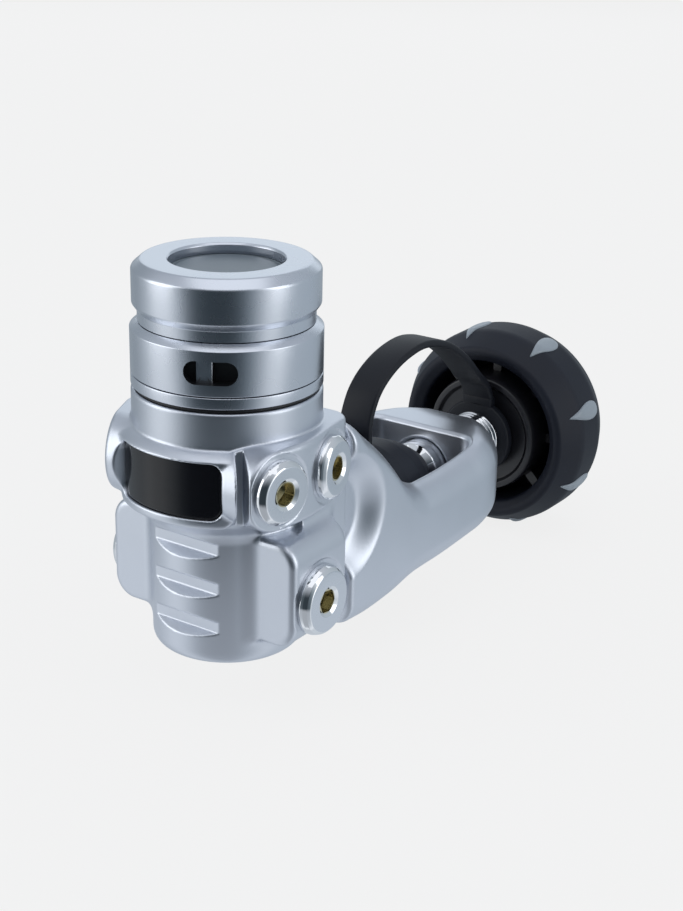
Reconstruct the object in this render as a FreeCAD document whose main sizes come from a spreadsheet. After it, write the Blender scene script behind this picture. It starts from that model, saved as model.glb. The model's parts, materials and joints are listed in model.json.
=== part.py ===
# First stage of a scuba regulator set: a balanced diaphragm valve with a sealed spring
# chamber, clamped to a tank valve by a yoke, a yoke screw and a hand knob.
# Millimetres. Origin: centre of the inlet's seal face. +X runs along the yoke axis to the
# knob, +Z is up along the body's own axis, so -X is the side with the label.

import FreeCAD, Part
import math
import os

import Sketcher

# Heights are above the body's base; lengths along the yoke count from the body's axis.
SIZES = {
    "axis_offset": 48.0,  # body axis to the inlet seal face
    "axis_height": 15.5,  # yoke axis above the base
    "fit_gap": 0.05,  # radial clearance of threads and running fits
    "seam": 0.2,  # gap seen between stacked rings

    "base_radius": 17.2,  # lower cylinder
    "base_round": 3.0,  # rounding of the base edge
    "belt_radius": 22.2,  # band behind the label frame
    "belt_low": 36.0,  # bottom of that band
    "belt_high": 51.0,  # top of that band
    "flare_height": 5.0,  # height over which the band and the frame run out into the collar
    "collar_radius": 21.0,  # round collar and the rings above it
    "body_height": 60.6,  # top of the body
    "wing_front": 10.0,  # front face of the high pressure crossbar
    "wing_depth": 20.4,  # the crossbar, front to back
    "wing_half": 25.4,  # half length of the crossbar
    "wing_low": 6.4,  # underside of the crossbar
    "wing_high": 31.3,  # top of the crossbar
    "wing_corner": 5.5,  # corner radius of the crossbar
    "cut_over": 1.0,  # how far a cut runs past the piece
    "soft_edge": 1.2,  # small rounding on the body's blocks
    "ear_radius": 9.0,  # round end of the low pressure port block
    "port_height": 44.5,  # height of the low pressure ports
    "port_reach": 23.1,  # low pressure seat faces, sideways
    "port_front": 12.2,  # front port, ahead of the axis
    "port_back": 6.2,  # rear ports, behind the axis
    "end_round": 4.5,  # rounding of the port block behind the rear ports
    "port_fan": 9.0,  # degrees that each port leans away from its neighbour
    "high_port_height": 16.0,  # height of the high pressure ports
    "high_port_shift": -0.4,  # high pressure ports, behind the axis
    "seat_face": 17.0,  # flat face that the yoke sits on
    "seat_half": 20.5,  # half width at that face
    "seat_low": 4.2,  # lowest point of that face
    "seat_high": 51.0,  # highest point of that face
    "seat_corner": 8.5,  # corner radius of that face
    "boss_radius": 9.6,  # inlet boss that enters the yoke
    "boss_length": 12.0,  # length of that boss

    "frame_radius": 24.2,  # face of the label frame
    "frame_angle": 84.0,  # degrees round the body
    "frame_height": 17.0,  # height of the label frame
    "frame_corner": 3.4,  # corner radius of the label frame
    "frame_edge": 1.0,  # rounding of its face
    "frame_root": 2.0,  # how far it is rooted in the collar
    "label_slack": 0.4,  # degrees of room for the plate
    "label_angle": 69.6,  # degrees round the body
    "label_height": 12.6,  # height of the label plate
    "label_middle": 44.1,  # middle of the label, above the base
    "label_sunk": 1.0,  # label plate below the face of its frame
    "label_thickness": 0.8,  # thickness of the label plate
    "label_corner": 2.6,  # corner radius of the label plate

    "scoop_depth_radius": 14.73,  # back wall of the grip scoops from the axis
    "scoop_wall": 2.5,  # height of that back wall
    "scoop_low": 8.2,  # lowest scoop's back wall, bottom
    "scoop_pitch": 9.3,  # one scoop to the next
    "scoop_count": 3,  # scoops, one above another
    "scoop_slope": 31.0,  # degrees that its floor and ceiling slope

    "chamber_radius": 11.0,  # intermediate pressure chamber
    "chamber_drop": 4.5,  # floor of that chamber, below the low pressure ports
    "neck_depth": 6.2,  # diaphragm's seat, below the top of the body
    "neck_radius": 17.0,  # threaded neck above the diaphragm
    "orifice_radius": 6.0,  # pocket of the valve seat
    "orifice_deep": 7.0,  # depth of that pocket
    "web_radius": 4.5,  # hole between the chambers
    "orifice_web": 2.0,  # wall between the chambers
    "valve_radius": 7.0,  # high pressure chamber
    "plug_radius": 9.0,  # bottom balance plug
    "plug_depth": 8.8,  # depth of its thread
    "thread_bevel": 0.5,  # bevel at a thread's end
    "flange_thick": 0.8,  # flange of a port plug's head
    "head_taper": 0.5,  # taper of the head above its flange
    "low_port_radius": 4.75,  # low pressure port thread, three eighths inch
    "low_port_recess": 6.6,  # seal recess of those ports
    "high_port_radius": 5.5,  # high pressure port thread, seven sixteenths inch
    "high_port_recess": 7.4,  # seal recess of those ports
    "recess_depth": 1.5,  # depth of the seal recesses
    "passage_radius": 4.0,  # inlet passage

    "low_head": 7.2,  # head radius of the low pressure plugs
    "low_head_height": 2.4,  # head height of those plugs
    "high_head": 8.4,  # head radius of the high pressure plugs
    "high_head_height": 2.8,  # head height of those plugs
    "head_round": 1.1,  # rounding of the plug heads
    "plug_thread": 8.0,  # thread length of the port plugs
    "hex_across": 5.0,  # hex socket across flats
    "hex_depth": 3.5,  # depth of the hex sockets
    "ring_thick": 1.4,  # cord of the small seal rings

    "ring_edge": 0.3,  # broken edges of the rings
    "gasket_set": 0.7,  # gasket's edge inside the collar
    "gasket_thick": 0.8,  # black gasket under the clamp ring
    "clamp_thick": 2.5,  # thickness of the clamp ring
    "housing_tall": 11.1,  # height of the spring housing outside
    "housing_bevel": 1.3,  # bevel under the groove
    "groove_radius": 19.3,  # groove below the cap's rim
    "groove_tall": 2.4,  # height of the groove under the cap's rim
    "rim_flare": 1.6,  # height of the slope from the groove to the rim
    "rim_radius": 20.45,  # rim of the top cap
    "rim_tall": 7.4,  # height of the straight rim
    "cap_flat": 18.3,  # flat top of the cap, outer radius
    "cap_bevel": 1.9,  # height of the slope from the rim to the flat top
    "window_radius": 12.5,  # round opening in the cap
    "lip_edge": 0.5,  # bevel of the cap's opening
    "lip_thick": 2.4,  # thickness of the cap's lip
    "joint_radius": 16.3,  # threads inside the cap and the neck
    "joint_tall": 6.7,  # height of the housing's threaded neck
    "spring_bore": 12.5,  # bore of the spring housing
    "slot_rise": 2.6,  # spanner slots, above the housing's lower edge
    "slot_height": 5.1,  # height of the slots
    "slot_depth": 3.0,  # depth of the slots
    "slot_angle": 31.5,  # degrees that a slot spans
    "slot_turn": 28.2,  # degrees from the label to the first slot
    "key_angle": 9.6,  # degrees of the key in a slot
    "key_turn": -4.6,  # degrees from the slot's middle to its key
    "key_edge": 0.5,  # degrees of a key's sloping side
    "key_depth": 1.9,  # how far the key lies below the surface
    "slot_count": 3,  # slots round the housing

    "run_gap": 0.3,  # radial room of a piece that slides or rests
    "loose_gap": 0.5,  # radial room of a loose piece
    "fold_wide": 1.4,  # width of the outer membrane's fold
    "fold_deep": 0.5,  # its depth
    "washer_thick": 1.0,  # diaphragm washer
    "diaphragm_thick": 1.2,  # main diaphragm
    "button_radius": 10.5,  # spring button
    "button_thick": 3.0,  # its disc
    "spigot_radius": 6.3,  # its spigot, inside the spring
    "spigot_height": 2.6,  # height of the spigot
    "spring_radius": 8.8,  # main spring, to the middle of the wire
    "spring_wire": 2.6,  # main spring wire
    "spring_turns": 3,  # turns of the main spring
    "adjuster_drop": 4.75,  # room between the adjusting screw and the pad
    "adjuster_thick": 5.8,  # adjusting screw
    "driver_slot": 2.0,  # width and depth of its driver slot
    "stem_radius": 3.5,  # stem of the load transmitter
    "pad_radius": 14.2,  # pad of the load transmitter
    "pad_thick": 1.7,  # its thickness
    "membrane_thick": 1.2,  # outer membrane
    "pin_radius": 1.2,  # lifter pin
    "plate_radius": 8.0,  # lifter plate
    "plate_thick": 1.4,  # its thickness
    "valve_travel": 1.2,  # travel of the valve
    "poppet_thick": 2.7,  # poppet head, along the axis
    "poppet_edge": 0.6,  # bevel of the poppet's head
    "poppet_head": 3.6,  # poppet head radius
    "poppet_stem": 2.0,  # poppet stem radius
    "seat_groove": 0.9,  # depth of the valve seat's groove
    "seal_half": 0.8,  # half height of that groove
    "plug_groove": 1.2,  # depth of the balance plug's groove
    "poppet_deep": 2.0,  # poppet's stem inside the guide
    "guide_deep": 5.0,  # depth of the guide's bore
    "plug_low": 0.4,  # face of the balance plug above the base
    "plug_groove_low": 5.2,  # its groove above the base
    "plug_groove_tall": 1.5,  # height of that groove
    "pin_spot": 5.0,  # holes for a pin spanner, from the axis
    "pin_hole": 1.2,  # their radius
    "pin_sunk": 2.0,  # their depth
    "seat_cord": 0.8,  # cord of the valve seat's seal
    "plug_cord": 1.1,  # cord of the balance plug's seal
    "guide_radius": 5.0,  # guide of the balance plug
    "guide_tall": 5.4,  # height of the guide
    "poppet_spring_radius": 3.1,  # poppet spring, to the middle of the wire
    "poppet_wire": 0.9,  # poppet spring wire
    "poppet_turns": 6,  # turns of the poppet spring

    "yoke_half": 23.0,  # half width of the yoke's arms
    "yoke_low": 4.2,  # underside of the yoke above the base level
    "crest_corner": 9.0,  # corner radius where the crest runs down
    "arm_corner": 7.0,  # corner radius of the arms
    "end_corner": 8.0,  # corner radius of the yoke's end
    "yoke_top": 25.5,  # top of the arms above the base level
    "end_thick": 18.0,  # yoke's end wall, which holds the screw's thread
    "end_half": 11.0,  # half width of the yoke's end
    "fitting_stand": 8.0,  # inlet fitting, from the yoke to its seal face
    "window_length": 43.0,  # length of the tank valve window
    "window_half": 16.3,  # half width of the window
    "window_corner": 5.0,  # corner radius of the window
    "retainer_radius": 7.5,  # threaded shank of the inlet fitting
    "retainer_bite": 2.0,  # how far its shank reaches into the body
    "hex_radius": 11.8,  # hexagon of the inlet fitting, across corners
    "hex_height": 4.0,  # height of that hexagon
    "nose_radius": 8.5,  # inlet nose
    "inlet_bore": 3.0,  # gas way behind the filter, radius
    "nose_edge": 0.6,  # bevel of the nose
    "filter_radius": 5.0,  # pocket of the sintered filter
    "filter_depth": 11.0,  # depth of that pocket

    "filter_collar": 2.0,  # collar of the filter
    "filter_cone": 5.0,  # its cone
    "filter_tip": 2.6,  # flat tip of the cone, radius
    "clip_deep": 2.4,  # clip below the seal face
    "clip_thick": 0.8,  # thickness of the clip
    "clip_wide": 1.2,  # width of the clip's ring
    "screw_radius": 7.5,  # yoke screw
    "screw_reach": 6.0,  # screw's tip in the window, from the end wall
    "tip_round": 2.0,  # rounding of the tip
    "screw_show": 10.0,  # thread in view behind the yoke
    "neck_length": 3.6,  # length of the plain neck
    "screw_neck": 6.0,  # radius of the plain neck
    "screw_shank": 5.0,  # radius inside the knob
    "shank_length": 16.0,  # length inside the knob
    "knob_radius": 27.5,  # outer radius of the knob
    "knob_set": 0.4,  # front of the rubber ring behind the neck
    "knob_length": 24.0,  # length of the knob
    "knob_round": 8.0,  # rounding of the knob's shoulders
    "knob_taper": 6.5,  # length of the slope to each shoulder
    "knob_lip": 2.8,  # height of its front and back lips
    "lip_round": 1.2,  # rounding of the lips
    "knob_bevel": 2.0,  # bevel inside each lip
    "knob_inner": 20.3,  # inside of the rubber ring
    "hub_radius": 16.5,  # hub disc of the knob
    "web_thick": 4.0,  # rear web of the knob
    "spoke_deep": 8.0,  # spokes behind the knob's front
    "spoke_width": 2.5,  # spokes of the knob
    "insert_count": 8,  # grey inserts round the knob
    "insert_proud": 0.7,  # height of the inserts above the rubber
    "insert_place": 7.3,  # middle of its round end behind the knob's front
    "insert_half": 2.9,  # half width of the round end
    "insert_tip": 0.9,  # half width of the narrow end
    "insert_root": 4.5,  # depth of an insert below the knob's surface
    "cap_deep": 2.0,  # end cap's foot inside the knob's back
    "end_cap_thick": 1.8,  # thickness of the end cap
    "end_cap_bevel": 1.5,  # its bevel
    "cap_radius_end": 12.0,  # end cap of the knob
    "cross_pin": 1.5,  # radius of the knob's cross pin

    "pin_deep": 9.0,  # cross pin behind the neck
    "dust_radius": 15.0,  # dust cap
    "dust_skirt": 4.0,  # how far its skirt overlaps the nose
    "dust_wide": 8.0,  # length of its widest part beyond the seal face
    "dust_nose": 7.0,  # flat end of the cap, radius
    "dust_edge": 0.8,  # broken edge of its skirt
    "dust_gap": 0.3,  # cap to the screw tip and to the seal face
    "strap_width": 9.0,  # width of the retaining strap
    "strap_thick": 2.0,  # thickness of the strap
    "strap_set": 3.4,  # middle of the strap behind the seal face, at the cap
    "strap_lug": 15.6,  # top of the cap's lug above the yoke axis
    "strap_rise": 20.2,  # crest of the strap above the cap's lug
    "lug_wall": 1.5,  # lug round the strap's end
    "lug_high": 4.0,  # height of a lug
    "loop_radius": 10.5,  # strap loop round the screw
    "loop_lug": 12.0,  # top of the loop's lug above the yoke axis
    "loop_thick": 2.8,  # thickness of the loop
}

# Places that follow from the sizes: heights above the base, then lengths along the yoke.
PLACES = {
    "chamber_low": "sizes.port_height - sizes.chamber_drop",
    "orifice_low": "chamber_low - sizes.orifice_deep",
    "web_low": "orifice_low - sizes.orifice_web",
    "guide_high": "sizes.plug_depth - sizes.seam + sizes.guide_tall",
    "poppet_top": "orifice_low - sizes.valve_travel - sizes.fit_gap",
    "poppet_neck": "poppet_top - sizes.poppet_thick",
    "diaphragm_height": "sizes.body_height - sizes.neck_depth",
    "clamp_low": "sizes.body_height + 2 * sizes.fit_gap + sizes.gasket_thick",
    "clamp_high": "clamp_low + sizes.clamp_thick",
    "housing_low": "clamp_high + sizes.seam",
    "housing_high": "housing_low + sizes.housing_tall",
    "housing_foot": "diaphragm_height + sizes.diaphragm_thick + sizes.washer_thick"
                    " + 3 * sizes.fit_gap",
    "slot_low": "housing_low + sizes.slot_rise",
    "joint_high": "housing_high + sizes.joint_tall",
    "groove_low": "housing_high + sizes.seam",
    "groove_high": "groove_low + sizes.groove_tall",
    "rim_low": "groove_high + sizes.rim_flare",
    "rim_high": "rim_low + sizes.rim_tall",
    "cap_high": "rim_high + sizes.cap_bevel",
    "membrane_high": "cap_high - sizes.lip_thick - sizes.fit_gap",
    "membrane_low": "membrane_high - sizes.membrane_thick",
    "pad_high": "membrane_low - sizes.fit_gap",
    "pad_low": "pad_high - sizes.pad_thick",
    "adjuster_high": "pad_low - sizes.adjuster_drop",
    "adjuster_low": "adjuster_high - sizes.adjuster_thick",
    "spring_high": "adjuster_low - sizes.washer_thick - 2 * sizes.fit_gap",
    "button_low": "diaphragm_height + sizes.diaphragm_thick + 2 * sizes.fit_gap",
    "button_high": "button_low + sizes.button_thick",
    "spigot_high": "button_high + sizes.spigot_height",
    "spring_low": "button_high + sizes.fit_gap",
    "frame_low": "sizes.label_middle - sizes.frame_height / 2",
    "frame_high": "sizes.label_middle + sizes.frame_height / 2",
    "label_low": "sizes.label_middle - sizes.label_height / 2",
    "label_high": "sizes.label_middle + sizes.label_height / 2",
    "label_radius": "sizes.frame_radius - sizes.label_sunk",
    "window_start": "sizes.axis_offset - sizes.fitting_stand",
    "window_end": "window_start + sizes.window_length",
    "yoke_end": "window_end + sizes.end_thick",
    "screw_tip": "window_end - sizes.screw_reach",
    "neck_start": "yoke_end + sizes.screw_show",
    "neck_end": "neck_start + sizes.neck_length",
    "knob_start": "neck_end + sizes.knob_set",
    "knob_end": "knob_start + sizes.knob_length",
    "strap_start": "sizes.axis_offset + sizes.strap_set",
}

doc = FreeCAD.newDocument("first_stage")
sheet = doc.addObject("Spreadsheet::Sheet", "sizes")
for row, (name, value) in enumerate(SIZES.items(), 1):
    sheet.set("A%d" % row, name)
    sheet.set("B%d" % row, str(value))
    sheet.setAlias("B%d" % row, name)
doc.recompute()
places = doc.addObject("Spreadsheet::Sheet", "places")
for row, (name, formula) in enumerate(PLACES.items(), 1):
    places.set("A%d" % row, name)
    places.setAlias("B%d" % row, name)
    places.set("B%d" % row, "=" + formula)
doc.recompute()


X_AXIS = FreeCAD.Vector(1, 0, 0)
Y_AXIS = FreeCAD.Vector(0, 1, 0)
Z_AXIS = FreeCAD.Vector(0, 0, 1)


def number(expression):
    """The present value of an expression that may use the sheet's names."""
    return float(sheet.evalExpression(expression))


def drive(thing, prop, expression):
    thing.setExpression(prop, expression)


def new_body(label):
    body = doc.addObject("PartDesign::Body", label)
    body.Label = label
    return body


def new_sketch(body, role, offset=None):
    sketch = body.newObject("Sketcher::SketchObject", body.Name + "_sketch")
    plane = [f for f in body.Origin.OriginFeatures if f.Role == role][0]
    sketch.AttachmentSupport = [(plane, "")]
    sketch.MapMode = "FlatFace"
    if offset:
        drive(sketch, "AttachmentOffset.Base.z", offset)
    return sketch


def pin_point(sketch, geometry, end, along, up):
    """Hold one end of one line at a place given by two expressions."""
    for kind, expression in (("DistanceX", along), ("DistanceY", up)):
        rule = Sketcher.Constraint(kind, -1, 1, geometry, end, number(expression))
        index = sketch.addConstraint(rule)
        drive(sketch, "Constraints[%d]" % index, expression)


def outline(sketch, corners):
    """A closed outline of straight lines; each corner is a pair of expressions."""
    spots = [FreeCAD.Vector(number(a), number(b), 0) for a, b in corners]
    first = sketch.GeometryCount
    count = len(spots)
    for i in range(count):
        sketch.addGeometry(Part.LineSegment(spots[i], spots[(i + 1) % count]), False)
    for i in range(count):
        rule = Sketcher.Constraint("Coincident", first + i, 2, first + (i + 1) % count, 1)
        sketch.addConstraint(rule)
    for i, (along, up) in enumerate(corners):
        pin_point(sketch, first + i, 1, along, up)


def rounded_outline(sketch, low_x, high_x, low_y, high_y, radius):
    """A rectangle with four equal round corners, all from expressions."""
    x0, x1 = number(low_x), number(high_x)
    y0, y1 = number(low_y), number(high_y)
    r = number(radius)
    first = sketch.GeometryCount
    ends = (
        ((x0 + r, y0), (x1 - r, y0)),
        ((x1, y0 + r), (x1, y1 - r)),
        ((x1 - r, y1), (x0 + r, y1)),
        ((x0, y1 - r), (x0, y0 + r)),
    )
    for start, stop in ends:
        line = Part.LineSegment(FreeCAD.Vector(*start, 0), FreeCAD.Vector(*stop, 0))
        sketch.addGeometry(line, False)
    centres = ((x1 - r, y0 + r), (x1 - r, y1 - r), (x0 + r, y1 - r), (x0 + r, y0 + r))
    up = FreeCAD.Vector(0, 0, 1)
    for i, centre in enumerate(centres):
        circle = Part.Circle(FreeCAD.Vector(*centre, 0), up, r)
        start = math.radians(-90 + 90 * i)
        arc = Part.ArcOfCircle(circle, start, start + math.pi / 2)
        sketch.addGeometry(arc, False)
    for i in range(4):
        arc = first + 4 + i
        sketch.addConstraint(Sketcher.Constraint("Tangent", first + i, 2, arc, 1))
        sketch.addConstraint(Sketcher.Constraint("Tangent", arc, 2, first + (i + 1) % 4, 1))
        if i:
            sketch.addConstraint(Sketcher.Constraint("Equal", first + 4, arc))
    sketch.addConstraint(Sketcher.Constraint("Horizontal", first))
    sketch.addConstraint(Sketcher.Constraint("Vertical", first + 1))
    sketch.addConstraint(Sketcher.Constraint("Horizontal", first + 2))
    index = sketch.addConstraint(Sketcher.Constraint("Radius", first + 4, r))
    drive(sketch, "Constraints[%d]" % index, radius)
    places = ((3, "DistanceX", low_x), (1, "DistanceX", high_x))
    places += ((0, "DistanceY", low_y), (2, "DistanceY", high_y))
    for line, kind, expression in places:
        rule = Sketcher.Constraint(kind, -1, 1, first + line, 1, number(expression))
        index = sketch.addConstraint(rule)
        drive(sketch, "Constraints[%d]" % index, expression)


def round_spot(sketch, along, up, radius):
    """A circle from expressions."""
    centre = FreeCAD.Vector(number(along), number(up), 0)
    circle = Part.Circle(centre, FreeCAD.Vector(0, 0, 1), number(radius))
    index = sketch.addGeometry(circle, False)
    pin_point(sketch, index, 3, along, up)
    rule = sketch.addConstraint(Sketcher.Constraint("Radius", index, number(radius)))
    drive(sketch, "Constraints[%d]" % rule, radius)


def pad(body, sketch, length, both_ways=False, backwards=False):
    feature = body.newObject("PartDesign::Pad", body.Name + "_pad")
    feature.Profile = sketch
    drive(feature, "Length", length)
    feature.Midplane = both_ways
    feature.Reversed = backwards
    return feature


def pocket(body, sketch, length, both_ways=False, backwards=False):
    feature = body.newObject("PartDesign::Pocket", body.Name + "_pocket")
    feature.Profile = sketch
    drive(feature, "Length", length)
    feature.Midplane = both_ways
    feature.Reversed = backwards
    return feature


def revolve(body, sketch, axis, angle="360", cut=False, both_ways=False):
    kind = "PartDesign::Groove" if cut else "PartDesign::Revolution"
    feature = body.newObject(kind, body.Name + "_turn")
    feature.Profile = sketch
    feature.ReferenceAxis = (sketch, [axis])
    drive(feature, "Angle", angle)
    feature.Midplane = both_ways
    return feature


def round_edges(body, radius, wanted):
    """Round the edges of the body's tip that the test picks out."""
    doc.recompute()
    base = body.Tip
    names = ["Edge%d" % (i + 1) for i, e in enumerate(base.Shape.Edges) if wanted(e)]
    feature = body.newObject("PartDesign::Fillet", body.Name + "_round")
    feature.Base = (base, names)
    drive(feature, "Radius", radius)
    return feature


def facing(face, axis):
    """How squarely a face looks along one of the body's axes, from -1 to 1."""
    where = face.Surface.parameter(face.CenterOfMass)
    return face.normalAt(*where).dot(axis)


def round_rims(body, radius, wanted):
    """Round the rims of the faces that the test picks out, not the edges between them."""
    doc.recompute()
    faces = [face for face in body.Tip.Shape.Faces if wanted(face)]
    return round_edges(body, radius,
                       lambda edge: sum(any(edge.isSame(rim) for rim in face.Edges)
                                        for face in faces) == 1)


def around(body, feature, count, role):
    """Repeat a feature evenly round one of the body's own axes."""
    doc.recompute()
    pattern = body.newObject("PartDesign::PolarPattern", body.Name + "_pattern")
    pattern.Originals = [feature]
    axis = [f for f in body.Origin.OriginFeatures if f.Role == role][0]
    pattern.Axis = (axis, [""])
    pattern.Angle = 360
    drive(pattern, "Occurrences", count)
    body.Tip = pattern
    return pattern


def upright(thing):
    """Stand a piece that was drawn on the body's axis, from its base, in its place."""
    drive(thing, "Placement.Base.x", "-sizes.axis_offset")
    drive(thing, "Placement.Base.z", "-sizes.axis_height")


def along_yoke(thing):
    """Place a piece that was drawn along the yoke axis, from the body's axis."""
    drive(thing, "Placement.Base.x", "-sizes.axis_offset")


def turned(label, corners, lay="upright"):
    """A turned piece: corners are (radius, height), or (along, radius) on the yoke."""
    body = new_body(label)
    sketch = new_sketch(body, "XZ_Plane")
    outline(sketch, corners)
    if lay == "upright":
        revolve(body, sketch, "V_Axis")
        upright(body)
    else:
        revolve(body, sketch, "H_Axis")
        along_yoke(body)
    return body


def boolean(kind, label, base, tools):
    """A cut, common or fusion of whole pieces."""
    if kind == "Cut":
        tool = tools[0]
        if len(tools) > 1:
            tool = doc.addObject("Part::MultiFuse", label + "_tools")
            tool.Shapes = tools
        result = doc.addObject("Part::Cut", label)
        result.Base = base
        result.Tool = tool
    else:
        result = doc.addObject(kind, label)
        result.Shapes = [base] + tools
    result.Label = label
    return result


def cylinder(label, radius, length, along="0", side="0", up="0", axis=None, turn=0):
    """A Part cylinder from expressions; axis and turn lay it down."""
    piece = doc.addObject("Part::Cylinder", label)
    drive(piece, "Radius", radius)
    drive(piece, "Height", length)
    if axis:
        piece.Placement = FreeCAD.Placement(FreeCAD.Vector(), FreeCAD.Rotation(axis, turn))
    drive(piece, "Placement.Base.x", along)
    drive(piece, "Placement.Base.y", side)
    drive(piece, "Placement.Base.z", up)
    return piece


# The body: crossbar for the high pressure ports


def crossbar():
    body = new_body("crossbar")
    sketch = new_sketch(body, "YZ_Plane", "-sizes.wing_front")
    rounded_outline(sketch, "-sizes.wing_half", "sizes.wing_half", "sizes.wing_low",
                    "sizes.wing_high", "sizes.wing_corner")
    pad(body, sketch, "sizes.wing_depth")
    round_rims(body, "sizes.soft_edge", lambda face: abs(facing(face, X_AXIS)) > 0.99)
    return body


def port_block():
    """The block whose two long sides are shallow vees, one face to a port."""
    body = new_body("port_block")
    low = "sizes.port_height - sizes.ear_radius"
    front = "-(sizes.port_front + sizes.ear_radius)"
    back = "sizes.seat_face"
    slope = "tan(sizes.port_fan * 1 deg)"
    middle = "(sizes.port_back - sizes.port_front) / 2"
    ridge = "(sizes.port_reach + (sizes.port_front + sizes.port_back) / 2 * %s)" % slope
    front_side = "(sizes.port_reach - sizes.ear_radius * %s)" % slope
    back_side = "(sizes.port_reach - (sizes.seat_face - sizes.port_back) * %s)" % slope
    sketch = new_sketch(body, "XY_Plane", low)
    outline(sketch, [(front, "-" + front_side), (middle, "-" + ridge), (back, "-" + back_side),
                     (back, back_side), (middle, ridge), (front, front_side)])
    pad(body, sketch, "2 * sizes.ear_radius")
    ahead = number(front)
    seat = number(back)
    round_edges(body, "sizes.ear_radius - sizes.seam",
                lambda e: abs(e.BoundBox.XMin - ahead) < 0.001 and e.BoundBox.XLength < 0.001
                and e.BoundBox.YLength > 1)
    round_edges(body, "sizes.end_round",
                lambda e: abs(e.BoundBox.XMin - seat) < 0.001 and e.BoundBox.XLength < 0.001
                and e.BoundBox.ZLength > 1)
    round_rims(body, "sizes.soft_edge",
               lambda face: abs(facing(face, Y_AXIS)) > 0.95 and face.Area > 100)
    return body


def seat_block():
    """The part of the body that reaches back to the yoke's seat."""
    body = new_body("seat_block")
    sketch = new_sketch(body, "YZ_Plane")
    rounded_outline(sketch, "-sizes.seat_half", "sizes.seat_half", "sizes.seat_low",
                    "sizes.seat_high", "sizes.seat_corner")
    pad(body, sketch, "sizes.seat_face")
    return body


def core():
    """The round core: lower cylinder, belt and collar."""
    body = new_body("core")
    sketch = new_sketch(body, "XZ_Plane")
    outline(sketch, [("0", "0"), ("sizes.base_radius", "0"),
                     ("sizes.base_radius", "sizes.wing_high + sizes.cut_over"),
                     ("sizes.belt_radius", "sizes.belt_low"),
                     ("sizes.belt_radius", "sizes.belt_high"),
                     ("sizes.collar_radius", "sizes.belt_high + sizes.flare_height"),
                     ("sizes.collar_radius", "sizes.body_height"),
                     ("0", "sizes.body_height")])
    revolve(body, sketch, "V_Axis")
    round_edges(body, "sizes.base_round",
                lambda e: e.BoundBox.ZMax < 0.01 and len(e.Vertexes) == 1)
    sketch = new_sketch(body, "XZ_Plane")
    behind = "sizes.seat_face + sizes.collar_radius"
    above_yoke = "sizes.seat_high + sizes.seam"
    below = "-sizes.cut_over"
    outline(sketch, [("sizes.seat_face", below), (behind, below), (behind, above_yoke),
                     ("sizes.seat_face", above_yoke)])
    pocket(body, sketch, "3 * sizes.collar_radius", both_ways=True)
    return body


def label_frame():
    body = new_body("label_frame")
    sketch = new_sketch(body, "XZ_Plane")
    inner = "-(sizes.collar_radius - sizes.frame_root)"
    outline(sketch, [(inner, "places.frame_low"), ("-sizes.frame_radius", "places.frame_low"),
                     ("-sizes.frame_radius", "places.frame_high"),
                     (inner, "places.frame_high + sizes.flare_height")])
    revolve(body, sketch, "V_Axis", "sizes.frame_angle", both_ways=True)
    half = number("sizes.frame_angle") / 2

    def side_corner(edge):
        turns = [math.degrees(math.atan2(abs(v.Y), -v.X)) for v in edge.Vertexes]
        reach = [math.hypot(v.X, v.Y) for v in edge.Vertexes]
        return all(abs(turn - half) < 0.01 for turn in turns) and max(reach) - min(reach) > 0.1

    round_edges(body, "sizes.frame_corner", side_corner)
    outer = number("sizes.frame_radius")
    round_rims(body, "sizes.frame_edge",
               lambda face: all(abs(math.hypot(v.X, v.Y) - outer) < 0.001
                                for v in face.Vertexes))
    return body


def scoops():
    """The three grip scoops: a flat back wall between a sloping floor and ceiling."""
    body = new_body("scoops")
    sketch = new_sketch(body, "XZ_Plane")
    flare = "(sizes.frame_radius - sizes.scoop_depth_radius) * tan(sizes.scoop_slope * 1 deg)"
    outline(sketch, [("-sizes.scoop_depth_radius", "sizes.scoop_low"),
                     ("-sizes.scoop_depth_radius", "sizes.scoop_low + sizes.scoop_wall"),
                     ("-sizes.frame_radius", "sizes.scoop_low + sizes.scoop_wall + " + flare),
                     ("-sizes.frame_radius", "sizes.scoop_low - " + flare)])
    first = pad(body, sketch, "2 * sizes.base_radius", both_ways=True)
    doc.recompute()
    pattern = body.newObject("PartDesign::LinearPattern", "scoops_pattern")
    pattern.Originals = [first]
    pattern.Direction = (sketch, ["V_Axis"])
    drive(pattern, "Length", "(sizes.scoop_count - 1) * sizes.scoop_pitch")
    drive(pattern, "Occurrences", "sizes.scoop_count")
    body.Tip = pattern
    return body


def chambers():
    """Everything bored on the body's own axis, from the base to the neck."""
    body = new_body("chambers")
    sketch = new_sketch(body, "XZ_Plane")
    outline(sketch, [("0", "-sizes.cut_over"), ("sizes.plug_radius", "-sizes.cut_over"),
                     ("sizes.plug_radius", "sizes.plug_depth"),
                     ("sizes.valve_radius", "sizes.plug_depth"),
                     ("sizes.valve_radius", "places.web_low"),
                     ("sizes.web_radius", "places.web_low"),
                     ("sizes.web_radius", "places.orifice_low"),
                     ("sizes.orifice_radius", "places.orifice_low"),
                     ("sizes.orifice_radius", "places.chamber_low"),
                     ("sizes.chamber_radius", "places.chamber_low"),
                     ("sizes.chamber_radius", "places.diaphragm_height"),
                     ("sizes.neck_radius", "places.diaphragm_height"),
                     ("sizes.neck_radius", "sizes.body_height + sizes.cut_over"),
                     ("0", "sizes.body_height + sizes.cut_over")])
    revolve(body, sketch, "V_Axis")
    return body


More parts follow.
